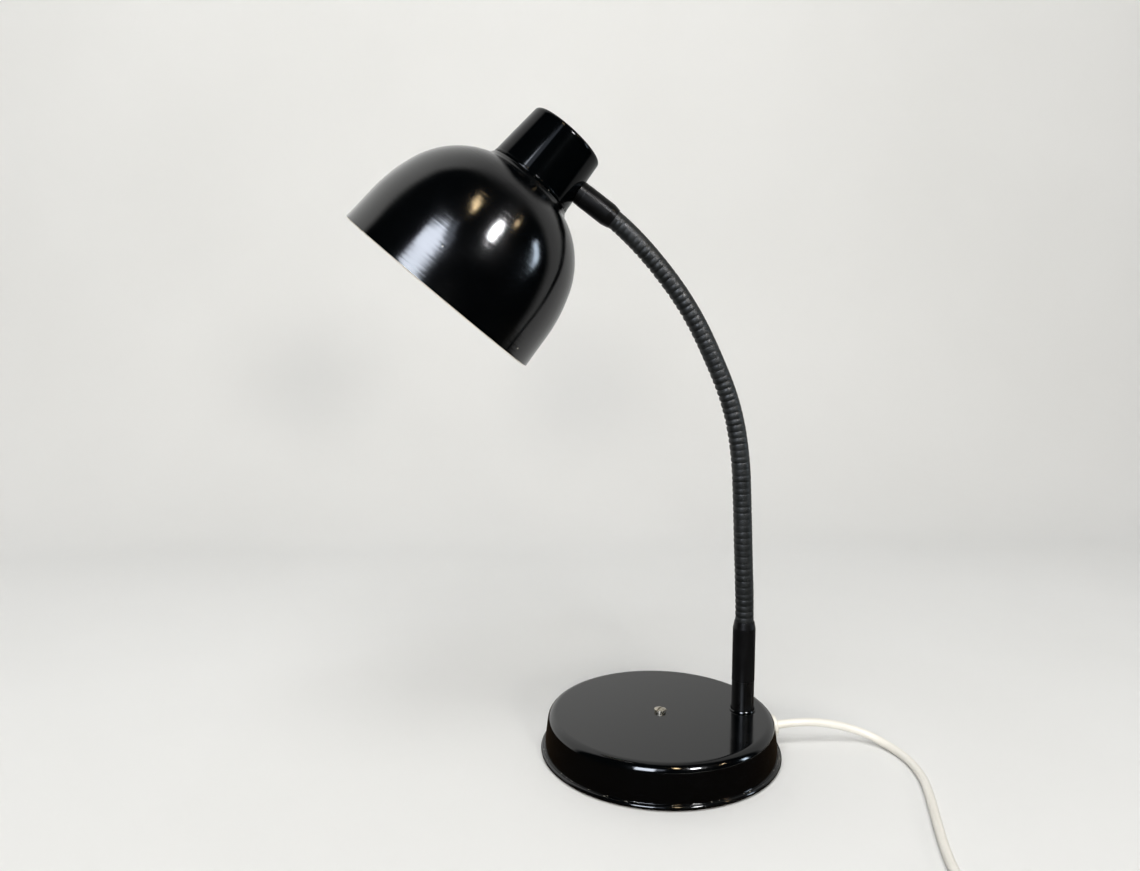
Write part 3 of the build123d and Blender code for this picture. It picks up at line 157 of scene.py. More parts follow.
class Outline:
    """Half of a turned part, drawn from a start point with a heading, in the XZ plane."""

    def __init__(self, start, heading):
        self.mesh = bmesh.new()
        self.tip = self.mesh.verts.new((start[0], 0, start[1]))
        self.heading = heading

    def straight(self, length, edge=0.25):
        """Go straight on.  A long stretch has an extra vertex close to each end."""
        steps = [length] if length < 4 * edge else [edge, length - 2 * edge, edge]
        turn = math.radians(self.heading)
        for step in steps:
            self.tip = bmesh.ops.extrude_vert_indiv(self.mesh, verts=[self.tip])["verts"][0]
            move = Vector((math.cos(turn), 0, math.sin(turn))) * step
            bmesh.ops.translate(self.mesh, verts=[self.tip], vec=move)

    def bend(self, radius, turn, steps):
        """Go round an arc, to the left for a turn above zero and to the right below it."""
        side = math.radians(self.heading + math.copysign(90, turn))
        centre = self.tip.co + Vector((math.cos(side), 0, math.sin(side))) * radius
        spun = bmesh.ops.spin(self.mesh, geom=[self.tip], cent=centre, axis=(0, -1, 0),
                              angle=math.radians(turn), steps=steps, use_merge=False)
        self.tip = [item for item in spun["geom_last"] if isinstance(item, bmesh.types.BMVert)][0]
        self.heading += turn

    def spin(self, steps):
        """Turn the outline once round the Z axis and close its seams and poles."""
        geometry = self.mesh.verts[:] + self.mesh.edges[:]
        bmesh.ops.spin(self.mesh, geom=geometry, cent=(0, 0, 0), axis=(0, 0, 1),
                       angle=FULL_TURN, steps=steps, use_merge=True)
        bmesh.ops.remove_doubles(self.mesh, verts=self.mesh.verts[:], dist=0.001)
        bmesh.ops.dissolve_degenerate(self.mesh, edges=self.mesh.edges[:], dist=0.0005)
        bmesh.ops.recalc_face_normals(self.mesh, faces=self.mesh.faces[:])
        return self.mesh


def finish_piece(mesh, name, place, material, body):
    """Put a bmesh in its place, in metres, and make it a piece that rides on a body."""
    bmesh.ops.transform(mesh, matrix=place, verts=mesh.verts[:])
    for face in mesh.faces:
        face.smooth = True
    data = bpy.data.meshes.new(name)
    mesh.to_mesh(data)
    mesh.free()
    for one in material if isinstance(material, list) else [material]:
        data.materials.append(one)
    piece = bpy.data.objects.new(name, data)
    bpy.context.scene.collection.objects.link(piece)
    if body:
        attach(piece, body)
    print(name, len(data.polygons), "faces")
    return piece

# %% [markdown]
# ## Where things are
#
# The arm stands at +X and leans over towards -X.  Its hinges lie at one pitch: the lower stretches
# are nearly upright, the upper ones lean ever further.  The head hangs from the arm's end, and its
# own axis crosses the arm's axis a little off square.  These are the driving sizes of the lamp's
# source, so every turned piece lands on its solid.

# % Places
ARM_X = 56
FOOT_SHOULDER = 83
FIRST_HINGE = 16
HINGE_PITCH = 33.4
LINK_LEANS = (3, 2.5, 3, 11, 22.5, 27, 36, 43)
LAST_RUN = 14
END_LEAN = 53.3
NECK_TILT = 3.5
HEAD_LEAN = END_LEAN - 90 - NECK_TILT
SHOULDER_TO_AXIS = 49.7439
RIM_TO_ARM = 103.2
to_metres = Matrix.Scale(MM, 4)


def pointing(lean):
    """Which way something points that leans from upright towards -X, by degrees."""
    turn = math.radians(lean)
    return Vector((-math.sin(turn), 0, math.cos(turn)))


def leaning(origin, lean):
    """A place at an origin whose Z axis leans from upright towards -X, by degrees."""
    turn = math.radians(-lean)
    return to_metres @ Matrix.Translation(origin) @ Matrix.Rotation(turn, 4, "Y")


HINGES = [Vector((ARM_X, 0, FOOT_SHOULDER + FIRST_HINGE))]
for lean in LINK_LEANS:
    HINGES.append(HINGES[-1] + pointing(lean) * HINGE_PITCH)
END_ALONG = pointing(END_LEAN)
HEAD_AXIS = pointing(HEAD_LEAN)
HEAD_SHOULDER = HINGES[-1] + END_ALONG * LAST_RUN
RIM_CENTRE = HEAD_SHOULDER + END_ALONG * SHOULDER_TO_AXIS - HEAD_AXIS * RIM_TO_ARM
POST = Vector((ARM_X, 0, 0))
head_place = leaning(RIM_CENTRE, HEAD_LEAN)
end_place = leaning(HEAD_SHOULDER, END_LEAN)
post_place = leaning(POST, 0)
base_place = leaning(Vector((0, 0, 0)), 0)
print("shade's axis points to", [round(x, 3) for x in head_place.col[2][:3]])

# %% [markdown]
# ## White mains cord
#
# The cord is a 5.5 mm round flex in a soft PVC sheath.  It comes out of the base level, sinks to the
# table within a hand's breadth and wanders off in loose curves, because PVC keeps a memory of the
# box it was packed in.  A NURBS curve of order three runs smoothly inside its control points, which
# is how such a flex bends.

# %% Cord sheath material
# soft PVC, extruded: a satin skin with a faint grain, slightly yellowed in places
pvc_cord, shader = start_material("flexible_pvc_sheath", "#e6e4de", 0.42, IOR=1.53)
place = add_node(pvc_cord, "ShaderNodeTexCoord").outputs["Object"]
# yellowing and handling marks in patches about 25 mm across
patches = add_node(pvc_cord, "ShaderNodeTexNoise", {"Scale": 40, "Detail": 3}, {"Vector": place})
tint = add_mix(pvc_cord, "#f0efeb", "#e4e1d8", patches.outputs["Fac"])
# extrusion grain of about 0.7 mm
grain = add_node(pvc_cord, "ShaderNodeTexNoise", {"Scale": 1400, "Detail": 2}, {"Vector": place})
relief = add_node(pvc_cord, "ShaderNodeBump", {"Strength": 0.25, "Distance": 0.0001},
                  {"Height": grain.outputs["Fac"]})
rough = add_node(pvc_cord, "ShaderNodeMapRange", {"To Min": 0.36, "To Max": 0.5},
                 {"Value": patches.outputs["Fac"]})
into(pvc_cord, shader, Base_Color=tint, Normal=relief.outputs["Normal"],
     Roughness=rough.outputs["Result"])
print("material", pvc_cord.name)

# %% [markdown]
# The first stretch runs from the base's grommet to the hand switch.  The second runs from the switch
# to the plug.  What is left of it is wound into a neat round coil, in two layers, held by a strap.
# Each turn of the coil is eighteen more control points of the same curve.

# %% Cord curves
CORD_D = 5.5


def make_cord(name, points):
    """A round flex along control points in millimetres."""
    curve = bpy.data.curves.new(name, "CURVE")
    curve.dimensions = "3D"
    curve.bevel_depth = CORD_D / 2 * MM
    curve.bevel_resolution = 6
    curve.resolution_u = 8
    curve.use_fill_caps = True
    spline = curve.splines.new("NURBS")
    spline.points.add(len(points) - 1)
    for point, here in zip(spline.points, points):
        point.co = (*(Vector(here) * MM), 1)
    spline.order_u = 3
    spline.use_endpoint_u = True
    spline.use_smooth = True
    curve.materials.append(pvc_cord)
    cord = bpy.data.objects.new(name, curve)
    bpy.context.scene.collection.objects.link(cord)
    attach(cord, "base")
    print(name, len(points), "control points")
    return cord


CORD_EXIT = (77.915, 0, 14.183)
lamp_side = make_cord("cord_lamp_to_switch", [
    CORD_EXIT, (91.811, 0, 15.889), (110, 0.6, 15.2), (127, 1, 11.6), (142.6, -1.4, 6.8),
    (153.4, -12.5, 3.2), (158.4, -31, 2.75), (156.8, -55, 2.75), (148.6, -82, 2.75),
    (138, -113, 2.75), (130.5, -138, 2.75), (126.4, -158, 3.6), (124, -176.5, 8), (124, -197, 8),
])
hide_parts("lead_lamp_side")

# %% Coil of spare cord
COIL_CENTRE = Vector((66, -251, 0))
OUTER_TURN_R = 39.325
TURN_PITCH = 5.55
LOWER_Z, UPPER_Z = 3.65, 8.5
LOWER_TURNS, UPPER_TURNS = 4, 3
TURN_POINTS = 18
# a curve of order three runs a little inside its control points, so they lie further out
POINTS_OUTSIDE = 1.012


def coil_turns():
    """Turns on the table, from the outside in, then some on top, from the inside out."""
    turns = [(OUTER_TURN_R - TURN_PITCH * turn, LOWER_Z) for turn in range(LOWER_TURNS)]
    # an upper turn lies in the furrow between two lower ones
    innermost = LOWER_TURNS - 1.5
    turns += [(OUTER_TURN_R - TURN_PITCH * (innermost - turn), UPPER_Z)
              for turn in range(UPPER_TURNS)]
    points = []
    for index, (radius, height) in enumerate(turns):
        next_radius, next_height = turns[min(index + 1, len(turns) - 1)]
        for step in range(TURN_POINTS):
            # the flex moves over to the next turn within the last third of this one
            over = max(0.0, (step - 2 * TURN_POINTS / 3) / (TURN_POINTS / 3))
            wide = (radius + (next_radius - radius) * over) * POINTS_OUTSIDE
            high = height + (next_height - height) * over
            angle = math.radians(-90 - 360 * step / TURN_POINTS)
            around = Vector((wide * math.cos(angle), wide * math.sin(angle), high))
            points.append(COIL_CENTRE + around)
    return points


plug_side = make_cord("cord_switch_to_plug", [
    (124, -247, 8), (124, -259, 8), (120.5, -270.5, 6.4), (113.3, -280.3, 3.9),
    (103.3, -287.4, 2.75), (91.3, -291.3, 2.75), (79, -290.7, 3.3),
    *coil_turns(),
    (63, -287.55, 8.5), (52.5, -288, 9.9), (42, -289.6, 8.6), (33, -291, 6.85), (24, -291, 6.85),
])
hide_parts("lead_plug_side", "lead_coil", "lead_tail")

# %% [markdown]
# A thick soft grommet lines the hole in the base's side, so that the edge of the sheet can't cut the
# cord.  It is moulded with a round edge, and stands square to the side, which leans in by 7 degrees.

# %% Grommet
SIDE_LEAN = 7
GROMMET_PLACE = Vector((76.427, 0, 14))
GROMMET_BORE_R = 2.8
GROMMET_SUNK = 0.4
grommet_line = Outline((GROMMET_BORE_R, -GROMMET_SUNK), 0)
grommet_line.straight(3.5)
grommet_line.bend(0.6, 90, 4)
grommet_line.straight(1.6)
grommet_line.bend(1.4, 90, 8)
grommet_line.straight(2.2)
grommet_line.bend(0.5, 90, 4)
grommet_line.straight(3.0)
side_place = (base_place @ Matrix.Translation(GROMMET_PLACE)
              @ Matrix.Rotation(math.radians(90 - SIDE_LEAN), 4, "Y"))
grommet = finish_piece(grommet_line.spin(64), "grommet_moulding", side_place, pvc_cord, "base")
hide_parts("cord_grommet")

# %% [markdown]
# ## Black stoving enamel
#
# The shade is spun from aluminium and enamelled black.  Enamel levels itself like glass, yet it keeps
# a trace of what lies under it: the fine rings that the spinning tool left.  Real ones are about half
# a millimetre apart, too fine to show, so they are drawn 2 mm apart on the shade and 1.3 mm apart on
# the cap and the base.  Across the rings a highlight spreads into a long streak, along them it stays
# narrow.  So the rings are a relief that follows the outline, and the gloss is drawn out across them.

# %% Enamel over spun metal
def spun_enamel(name, origin, axis, ring_mm, ring_depth, roughness, gloss, worn_heights):
    """Gloss enamel on a spun sheet: rings round an axis, orange peel, dust, rubbing and chips."""
    material, shader = start_material(name, "#020304", roughness, IOR=1.5, Anisotropic=0.45,
                                      Specular_IOR_Level=gloss)
    coordinates = add_node(material, "ShaderNodeTexCoord")
    place = coordinates.outputs["Object"]
    from_centre = add_node(material, "ShaderNodeVectorMath", {1: Vector(origin) * MM}, {0: place},
                           operation="SUBTRACT")
    around = add_node(material, "ShaderNodeVectorMath", {0: axis},
                      {1: from_centre.outputs["Vector"]}, operation="CROSS_PRODUCT")
    radius = add_node(material, "ShaderNodeVectorMath", links={0: around.outputs["Vector"]},
                      operation="LENGTH")
    height = add_node(material, "ShaderNodeVectorMath", {0: axis},
                      {1: from_centre.outputs["Vector"]}, operation="DOT_PRODUCT")
    # the rings are finer than the eye resolves in places, so the gloss itself is also drawn out
    # across them, from the rim towards the middle
    across = add_node(material, "ShaderNodeVectorMath", operation="CROSS_PRODUCT",
                      links={0: coordinates.outputs["Normal"], 1: around.outputs["Vector"]})
    turned = add_node(material, "ShaderNodeVectorTransform", vector_type="VECTOR",
                      convert_from="OBJECT", convert_to="WORLD",
                      links={"Vector": across.outputs["Vector"]})
    # height less radius grows all the way from the rim to the middle of the top
    along = add_node(material, "ShaderNodeMath", operation="SUBTRACT",
                     links={0: height.outputs["Value"], 1: radius.outputs["Value"]})
    rings = add_node(material, "ShaderNodeTexNoise", {"Scale": 1000 / ring_mm, "Detail": 3,
                     "Roughness": 0.6}, {"W": along.outputs["Value"]}, noise_dimensions="1D")
    # the tool does not press evenly all round, so the rings fade in places
    pressure = add_node(material, "ShaderNodeTexNoise", {"Scale": 35, "Detail": 2},
                        {"Vector": place})
    depth = add_node(material, "ShaderNodeMapRange", {"From Min": 0.35, "From Max": 0.65,
                     "To Min": 0.35, "To Max": 1.0}, {"Value": pressure.outputs["Fac"]})
    ringed = add_node(material, "ShaderNodeMath", operation="MULTIPLY",
                      links={0: rings.outputs["Fac"], 1: depth.outputs["Result"]})
    first = add_node(material, "ShaderNodeBump", {"Strength": 1.0, "Distance": ring_depth * MM},
                     {"Height": ringed.outputs["Value"]})
    # orange peel: shallow waves about 3 mm across
    peel = add_node(material, "ShaderNodeTexNoise", {"Scale": 330, "Detail": 1}, {"Vector": place})
    second = add_node(material, "ShaderNodeBump", {"Strength": 1.0, "Distance": 0.002 * MM},
                      {"Height": peel.outputs["Fac"], "Normal": first.outputs["Normal"]})
    # dust specks of about a millimetre, coarser than real ones so that they show, on one cell in
    # eight
    specks = add_node(material, "ShaderNodeTexVoronoi", {"Scale": 160}, {"Vector": place})
    dust = add_node(material, "ShaderNodeMapRange", {"From Min": 0.05, "From Max": 0.1,
                    "To Min": 1.0, "To Max": 0.0}, {"Value": specks.outputs["Distance"]})
    some = add_node(material, "ShaderNodeMath", {1: 0.88}, {0: specks.outputs["Color"]},
                    operation="GREATER_THAN")
    marks = add_node(material, "ShaderNodeMath", links={0: dust.outputs["Result"],
                                                        1: some.outputs["Value"]},
                     operation="MULTIPLY")
    # small chips down to the primer, only close to an edge
    flaking = add_node(material, "ShaderNodeTexNoise", {"Scale": 620, "Detail": 3},
                       {"Vector": place})
    for worn_height in worn_heights:
        off_edge = add_node(material, "ShaderNodeMath", {1: worn_height * MM},
                            {0: height.outputs["Value"]}, operation="SUBTRACT")
        away = add_node(material, "ShaderNodeMath", links={0: off_edge.outputs["Value"]},
                        operation="ABSOLUTE")
        threshold = add_node(material, "ShaderNodeMapRange", {"From Min": 0.0, "From Max": 0.0016,
                             "To Min": 0.655, "To Max": 1.1}, {"Value": away.outputs["Value"]})
        chips = add_node(material, "ShaderNodeMath", operation="GREATER_THAN",
                         links={0: flaking.outputs["Fac"], 1: threshold.outputs["Result"]})
        marks = add_node(material, "ShaderNodeMath", links={0: marks.outputs["Value"],
                                                            1: chips.outputs["Value"]},
                         operation="MAXIMUM")
    paint = add_mix(material, "#020304", "#a5a29a", marks.outputs["Value"])
    # handling leaves patches that are a shade duller
    wipe = add_node(material, "ShaderNodeMapRange", {"From Min": 0.35, "From Max": 0.7,
                    "To Min": roughness * 0.8, "To Max": roughness * 1.3},
                    {"Value": pressure.outputs["Fac"]})
    into(material, shader, Base_Color=paint, Roughness=wipe.outputs["Result"],
         Normal=second.outputs["Normal"], Tangent=turned.outputs["Vector"])
    print("material", material.name)
    return material


shade_enamel = spun_enamel("stoved_enamel_on_spun_aluminium", RIM_CENTRE, HEAD_AXIS, 2.0, 0.11,
                           0.14, 0.5, (0.2,))
cap_enamel = spun_enamel("stoved_enamel_on_drawn_cap", RIM_CENTRE, HEAD_AXIS, 1.3, 0.01,
                         0.09, 0.14, (89.6, 125.9))
base_enamel = spun_enamel("stoved_enamel_on_pressed_steel", (0, 0, 0), (0, 0, 1), 1.3, 0.006,
                          0.1, 0.5, (1.4, 3.6))

# %% [markdown]
# Inside, such a shade is sprayed matt white, to send the light down.  The spray is thinner and
# drier, so it has a fine grain and no depth.

# %% White spray inside the shade
white_spray, shader = start_material("white_reflector_spray", "#e9e6de", 0.55, IOR=1.5)
place = add_node(white_spray, "ShaderNodeTexCoord").outputs["Object"]
# dried droplets, about 0.8 mm
droplets = add_node(white_spray, "ShaderNodeTexNoise", {"Scale": 1250, "Detail": 2},
                    {"Vector": place})
cloud = add_node(white_spray, "ShaderNodeTexNoise", {"Scale": 22, "Detail": 3}, {"Vector": place})
warmth = add_mix(white_spray, "#eeece6", "#e0d9c8", cloud.outputs["Fac"])
relief = add_node(white_spray, "ShaderNodeBump", {"Strength": 0.4, "Distance": 0.0001},
                  {"Height": droplets.outputs["Fac"]})
into(white_spray, shader, Base_Color=warmth, Normal=relief.outputs["Normal"])
print("material", white_spray.name)

# %% [markdown]
# ## Shade
#
# A spinner presses a disc of aluminium over a wooden form, which gives a nearly straight skirt, a
# crown of three ever tighter arcs and a small neck under the cap.  The outline is drawn outside and
# inside, 1 mm apart, and is spun once.  Inner faces look towards the axis or down, and take the white.

# %% Shade
WALL = 1.0
RIM_R = 71
SKIRT_LEAN = 4
SKIRT_RUN = 22.7
# radius, turn and steps of each arc of the crown, from the skirt up
CROWN = ((105, 17, 14), (59, 29, 18), (51, 17, 12))
NECK_R = 7.4
NECK_TURN = 38.6
CORNER_R = 1.5
HOLE_R = 19.95
crown_turn = sum(turn for _, turn, _ in CROWN)
corner_turn = 180 - (90 + SKIRT_LEAN + crown_turn - NECK_TURN)
rim_start = (RIM_R - WALL / 2 * math.sin(math.radians(SKIRT_LEAN)), WALL / 2)
shade_line = Outline(rim_start, 90 + SKIRT_LEAN)
shade_line.straight(SKIRT_RUN)
for radius, turn, steps in CROWN:
    shade_line.bend(radius, turn, steps)
shade_line.bend(NECK_R, -NECK_TURN, 10)
shade_line.bend(CORNER_R, corner_turn, 8)
top_run = shade_line.tip.co.x - HOLE_R
shade_top = shade_line.tip.co.z
shade_line.straight(top_run)
shade_line.bend(WALL / 2, 180, 6)
shade_line.straight(top_run)
shade_line.bend(CORNER_R - WALL, -corner_turn, 6)
shade_line.bend(NECK_R + WALL, NECK_TURN, 10)
for radius, turn, steps in reversed(CROWN):
    shade_line.bend(radius - WALL, -turn, steps)
shade_line.straight(SKIRT_RUN)
# this bend rolls the inner skin inwards: it does not meet the outer skin, which stays open here
shade_line.bend(WALL / 2, -180, 8)
shade_mesh = shade_line.spin(224)
for face in shade_mesh.faces:
    middle = face.calc_center_median()
    inward = face.normal.dot(middle - Vector((0, 0, 20))) < 0
    # faces at the rim's lowest edge that look down take the white too, which draws a thin pale line
    # along the rim
    lowest = middle.z < WALL / 2 and face.normal.z < -0.35
    face.material_index = 1 if inward or lowest else 0
shade = finish_piece(shade_mesh, "shade_shell", head_place, [shade_enamel, white_spray], "head")
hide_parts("shade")
print("shade's top is", round(shade_top, 2), "mm above its rim")

# %% [markdown]
# ## Cap
#
# The cap is a short cup, drawn from sheet, that hides the lampholder and takes the arm.  Its lip is
# turned in a little: the eye sees two thin bright lines there, one on each side of the lip.

# %% Cap
CAP_R = 28.7
CAP_LEAN = 5
CAP_LIP_R = 0.35
CAP_SIDE_TOP = 34.827
CAP_SHOULDER_R = 2.6
CAP_H = 37.2
CAP_FOOT = 89.4
cap_line = Outline((CAP_R - CAP_LIP_R, 0.1), 0)
cap_line.bend(CAP_LIP_R, 90 + CAP_LEAN, 5)
cap_line.straight(0.9, edge=0.2)
cap_line.bend(0.3, 40, 3)
cap_line.bend(0.3, -40, 3)
cap_side = CAP_SIDE_TOP - cap_line.tip.co.z
cap_line.straight(cap_side / math.cos(math.radians(CAP_LEAN)))
cap_line.bend(CAP_SHOULDER_R, 90 - CAP_LEAN, 12)
cap_line.straight(cap_line.tip.co.x)
print("cap's outline ends at", round(cap_line.tip.co.z, 2), "mm, and should at", CAP_H)
cap_mesh = cap_line.spin(160)
bmesh.ops.solidify(cap_mesh, geom=cap_mesh.faces[:], thickness=0.9)
bmesh.ops.recalc_face_normals(cap_mesh, faces=cap_mesh.faces[:])
cap_place = head_place @ Matrix.Translation((0, 0, CAP_FOOT))
cap = finish_piece(cap_mesh, "cap_shell", cap_place, cap_enamel, "head")
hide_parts("shade_cap")

# %% [markdown]
# ## Base cover
#
# The cover is pressed from steel.  Its top is flat, its shoulder round, and its side flares out to a
# bead where the sheet is rolled round, so that no cut edge shows.  Between side and bead runs a thin
# dark groove.

# %% Base cover
COVER_H = 26
COVER_TOP_R = 70.087
SCREW_HOLE_R = 2.25
SHOULDER_R = 5.5
GROOVE_Z = 3.75
GROOVE_R = 0.35
BEAD_R = 1.5
cover_line = Outline((SCREW_HOLE_R, COVER_H), 0)
cover_line.straight(COVER_TOP_R - SCREW_HOLE_R)
cover_line.bend(SHOULDER_R, SIDE_LEAN - 90, 18)
cover_line.straight((cover_line.tip.co.z - GROOVE_Z) / math.cos(math.radians(SIDE_LEAN)))
# the sheet turns outwards in the groove, then rolls right round
cover_line.bend(GROOVE_R, 97.6, 6)
cover_line.bend(BEAD_R, -285, 26)
cover_mesh = cover_line.spin(224)
bmesh.ops.solidify(cover_mesh, geom=cover_mesh.faces[:], thickness=0.8)
bmesh.ops.recalc_face_normals(cover_mesh, faces=cover_mesh.faces[:])
cover_top = max(vert.co.z for vert in cover_mesh.verts)
cover_wide = max(vert.co.x for vert in cover_mesh.verts)
cover_low = min(vert.co.z for vert in cover_mesh.verts)
print("cover: radius", round(cover_wide, 2), "top", round(cover_top, 2), "foot", round(cover_low, 2))
cover = finish_piece(cover_mesh, "base_cover_shell", base_place, base_enamel, "base")
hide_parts("base_cover")

# %% [markdown]
# ## Hose
#
# The arm bends because it is a steel spiral inside a skin of black PVC.  On the inside of a bend the
# skin is pushed together into low ribs, on the outside it is stretched smooth.  Nine hinges stand in
# for that bend, so the skin is made in nine lengths, each of which bends between two links.  Each
# length follows a quadratic curve with its hinge as the middle control point, and ends in a groove
# between two ribs, where a joint does not show.

# %% Hose skin material
# PVC skin, satin from handling, with the dust and dull streaks that collect between the ribs
hose_skin, shader = start_material("black_pvc_hose_skin", "#0f1010", 0.46, IOR=1.53,
                                   Specular_IOR_Level=0.32)
place = add_node(hose_skin, "ShaderNodeTexCoord").outputs["Object"]
streaks = add_node(hose_skin, "ShaderNodeTexNoise", {"Scale": 260, "Detail": 4}, {"Vector": place})
tone = add_mix(hose_skin, "#0b0d0d", "#1b1e1e", streaks.outputs["Fac"])
shine = add_node(hose_skin, "ShaderNodeMapRange", {"From Min": 0.3, "From Max": 0.7,
                 "To Min": 0.4, "To Max": 0.56}, {"Value": streaks.outputs["Fac"]})
# moulding grain of about 0.9 mm
grain = add_node(hose_skin, "ShaderNodeTexNoise", {"Scale": 1100, "Detail": 2}, {"Vector": place})
relief = add_node(hose_skin, "ShaderNodeBump", {"Strength": 0.2, "Distance": 0.00006},
                  {"Height": grain.outputs["Fac"]})
into(hose_skin, shader, Base_Color=tone, Roughness=shine.outputs["Result"],
     Normal=relief.outputs["Normal"])
print("material", hose_skin.name)

# %% Hose lengths
HOSE_R = 6.1
HOSE_SIDES = 44
RIB_PITCH = 4.1
RINGS_PER_RIB = 9
LEAST_GROOVE = 0.08
INTO_SLEEVE = 0.3
chance = random.Random(5)


def hose_length(start, middle, end, squeeze):
    """One length of skin: a straight tube that is ribbed and laid along a quadratic curve."""
    run = (middle - start).length + (end - middle).length
    ribs = round(run / RIB_PITCH)
    strengths = [chance.uniform(0.35, 1.3) for _ in range(ribs)]
    rings = ribs * RINGS_PER_RIB
    line = Outline((HOSE_R, 0), 90)
    for _ in range(rings):
        line.straight(1, edge=1)
    mesh = line.spin(HOSE_SIDES)
    for vert in mesh.verts:
        step = round(vert.co.z)
        rib = min(step // RINGS_PER_RIB, ribs - 1)
        pillow = abs(math.sin(math.pi * step / RINGS_PER_RIB)) ** 0.7
        round_x, round_y = vert.co.x / HOSE_R, vert.co.y / HOSE_R
        # the skin is squeezed on the side that the hose bends towards
        inside = (0.5 - 0.5 * round_x) ** 0.8
        groove = strengths[rib] * (LEAST_GROOVE + squeeze * inside)
        radius = HOSE_R - (1 - pillow) * groove
        t = step / rings
        middle_line = start * (1 - t) ** 2 + middle * 2 * t * (1 - t) + end * t * t
        along = ((middle - start) * (1 - t) + (end - middle) * t).normalized()
        outside = Vector((along.z, 0, -along.x))
        vert.co = middle_line + outside * round_x * radius + Vector((0, round_y * radius, 0))
    bmesh.ops.recalc_face_normals(mesh, faces=mesh.faces[:])
    return mesh


hose_ends = [Vector((ARM_X, 0, FOOT_SHOULDER - INTO_SLEEVE))]
hose_ends += [(a + b) / 2 for a, b in zip(HINGES, HINGES[1:])]
hose_ends += [HEAD_SHOULDER + END_ALONG * INTO_SLEEVE]
SQUEEZES = (0.3, 0.28, 0.3, 0.55, 0.7, 0.65, 0.75, 0.65, 0.45)
for index, (hinge, squeeze) in enumerate(zip(HINGES, SQUEEZES)):
    start, end = hose_ends[index], hose_ends[index + 1]
    skin = finish_piece(hose_length(start, hinge, end, squeeze), f"hose_length_{index + 1}",
                        to_metres, hose_skin, None)
    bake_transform(skin)
    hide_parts(f"gooseneck_link_{index}")
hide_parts("gooseneck_link_9")

# %% [markdown]
# ## Sleeves
#
# At each end the hose goes into a steel ferrule, and a soft plastic sleeve hides the joint.  The
# sleeve is a dipped or moulded tube with a cone at its thin end.  Both sleeves are the same shape in
# two lengths; the upper one is turned round.

# %% Sleeve material
# soft PVC, moulded: satin, with a slight waviness from shrinking on
sleeve_pvc, shader = start_material("black_pvc_sleeve", "#0a0a0b", 0.36, IOR=1.5,
                                    Specular_IOR_Level=0.16)
place = add_node(sleeve_pvc, "ShaderNodeTexCoord").outputs["Object"]
wave = add_node(sleeve_pvc, "ShaderNodeTexNoise", {"Scale": 120, "Detail": 2}, {"Vector": place})
grain = add_node(sleeve_pvc, "ShaderNodeTexNoise", {"Scale": 1500, "Detail": 2}, {"Vector": place})
first = add_node(sleeve_pvc, "ShaderNodeBump", {"Strength": 0.4, "Distance": 0.00012},
                 {"Height": wave.outputs["Fac"]})
second = add_node(sleeve_pvc, "ShaderNodeBump", {"Strength": 0.2, "Distance": 0.00005},
                  {"Height": grain.outputs["Fac"], "Normal": first.outputs["Normal"]})
shine = add_node(sleeve_pvc, "ShaderNodeMapRange", {"From Min": 0.3, "From Max": 0.7,
                 "To Min": 0.3, "To Max": 0.42}, {"Value": wave.outputs["Fac"]})
into(sleeve_pvc, shader, Roughness=shine.outputs["Result"], Normal=second.outputs["Normal"])
print("material", sleeve_pvc.name)

# %% Sleeves
CONE_TURN = math.degrees(math.atan(0.95 / 5))


def sleeve_mesh(length):
    """A sleeve with its shoulder at height 0, its plain end below and its cone above."""
    line = Outline((6.7, -length), 0)
    line.straight(0.55)
    line.bend(0.25, 90, 4)
    line.straight(length - 0.25 - 0.3)
    line.bend(3, CONE_TURN, 4)
    line.straight(4.4)
    line.bend(0.17, 180 - CONE_TURN, 6)
    line.straight(5.2)
    return line.spin(96)


foot_sleeve = finish_piece(sleeve_mesh(36), "foot_sleeve_skin",
                           post_place @ Matrix.Translation((0, 0, FOOT_SHOULDER)), sleeve_pvc,
                           "base")
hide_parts("foot_sleeve")
head_sleeve = finish_piece(sleeve_mesh(19), "head_sleeve_skin",
                           end_place @ Matrix.Rotation(math.radians(180), 4, "X"), sleeve_pvc,
                           "head")
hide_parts("head_sleeve")

# %% [markdown]
# ## Metal of the ferrules and the screw
#
# The ferrules are turned steel under the same black enamel, thinner and a little duller than the
# shade's.  The screw in the middle of the base is plated with nickel that has worn dull and yellow,
# with dirt left where a cloth does not reach.

# %% Ferrule paint and nickel
ferrule_paint, shader = start_material("black_enamel_on_turned_steel", "#080808", 0.32, IOR=1.5,
                                       Specular_IOR_Level=0.25)
place = add_node(ferrule_paint, "ShaderNodeTexCoord").outputs["Object"]
wear = add_node(ferrule_paint, "ShaderNodeTexNoise", {"Scale": 180, "Detail": 4},
                {"Vector": place})
shine = add_node(ferrule_paint, "ShaderNodeMapRange", {"From Min": 0.3, "From Max": 0.7,
                 "To Min": 0.26, "To Max": 0.4}, {"Value": wear.outputs["Fac"]})
relief = add_node(ferrule_paint, "ShaderNodeBump", {"Strength": 0.3, "Distance": 0.0002},
                  {"Height": wear.outputs["Fac"]})
into(ferrule_paint, shader, Roughness=shine.outputs["Result"], Normal=relief.outputs["Normal"])

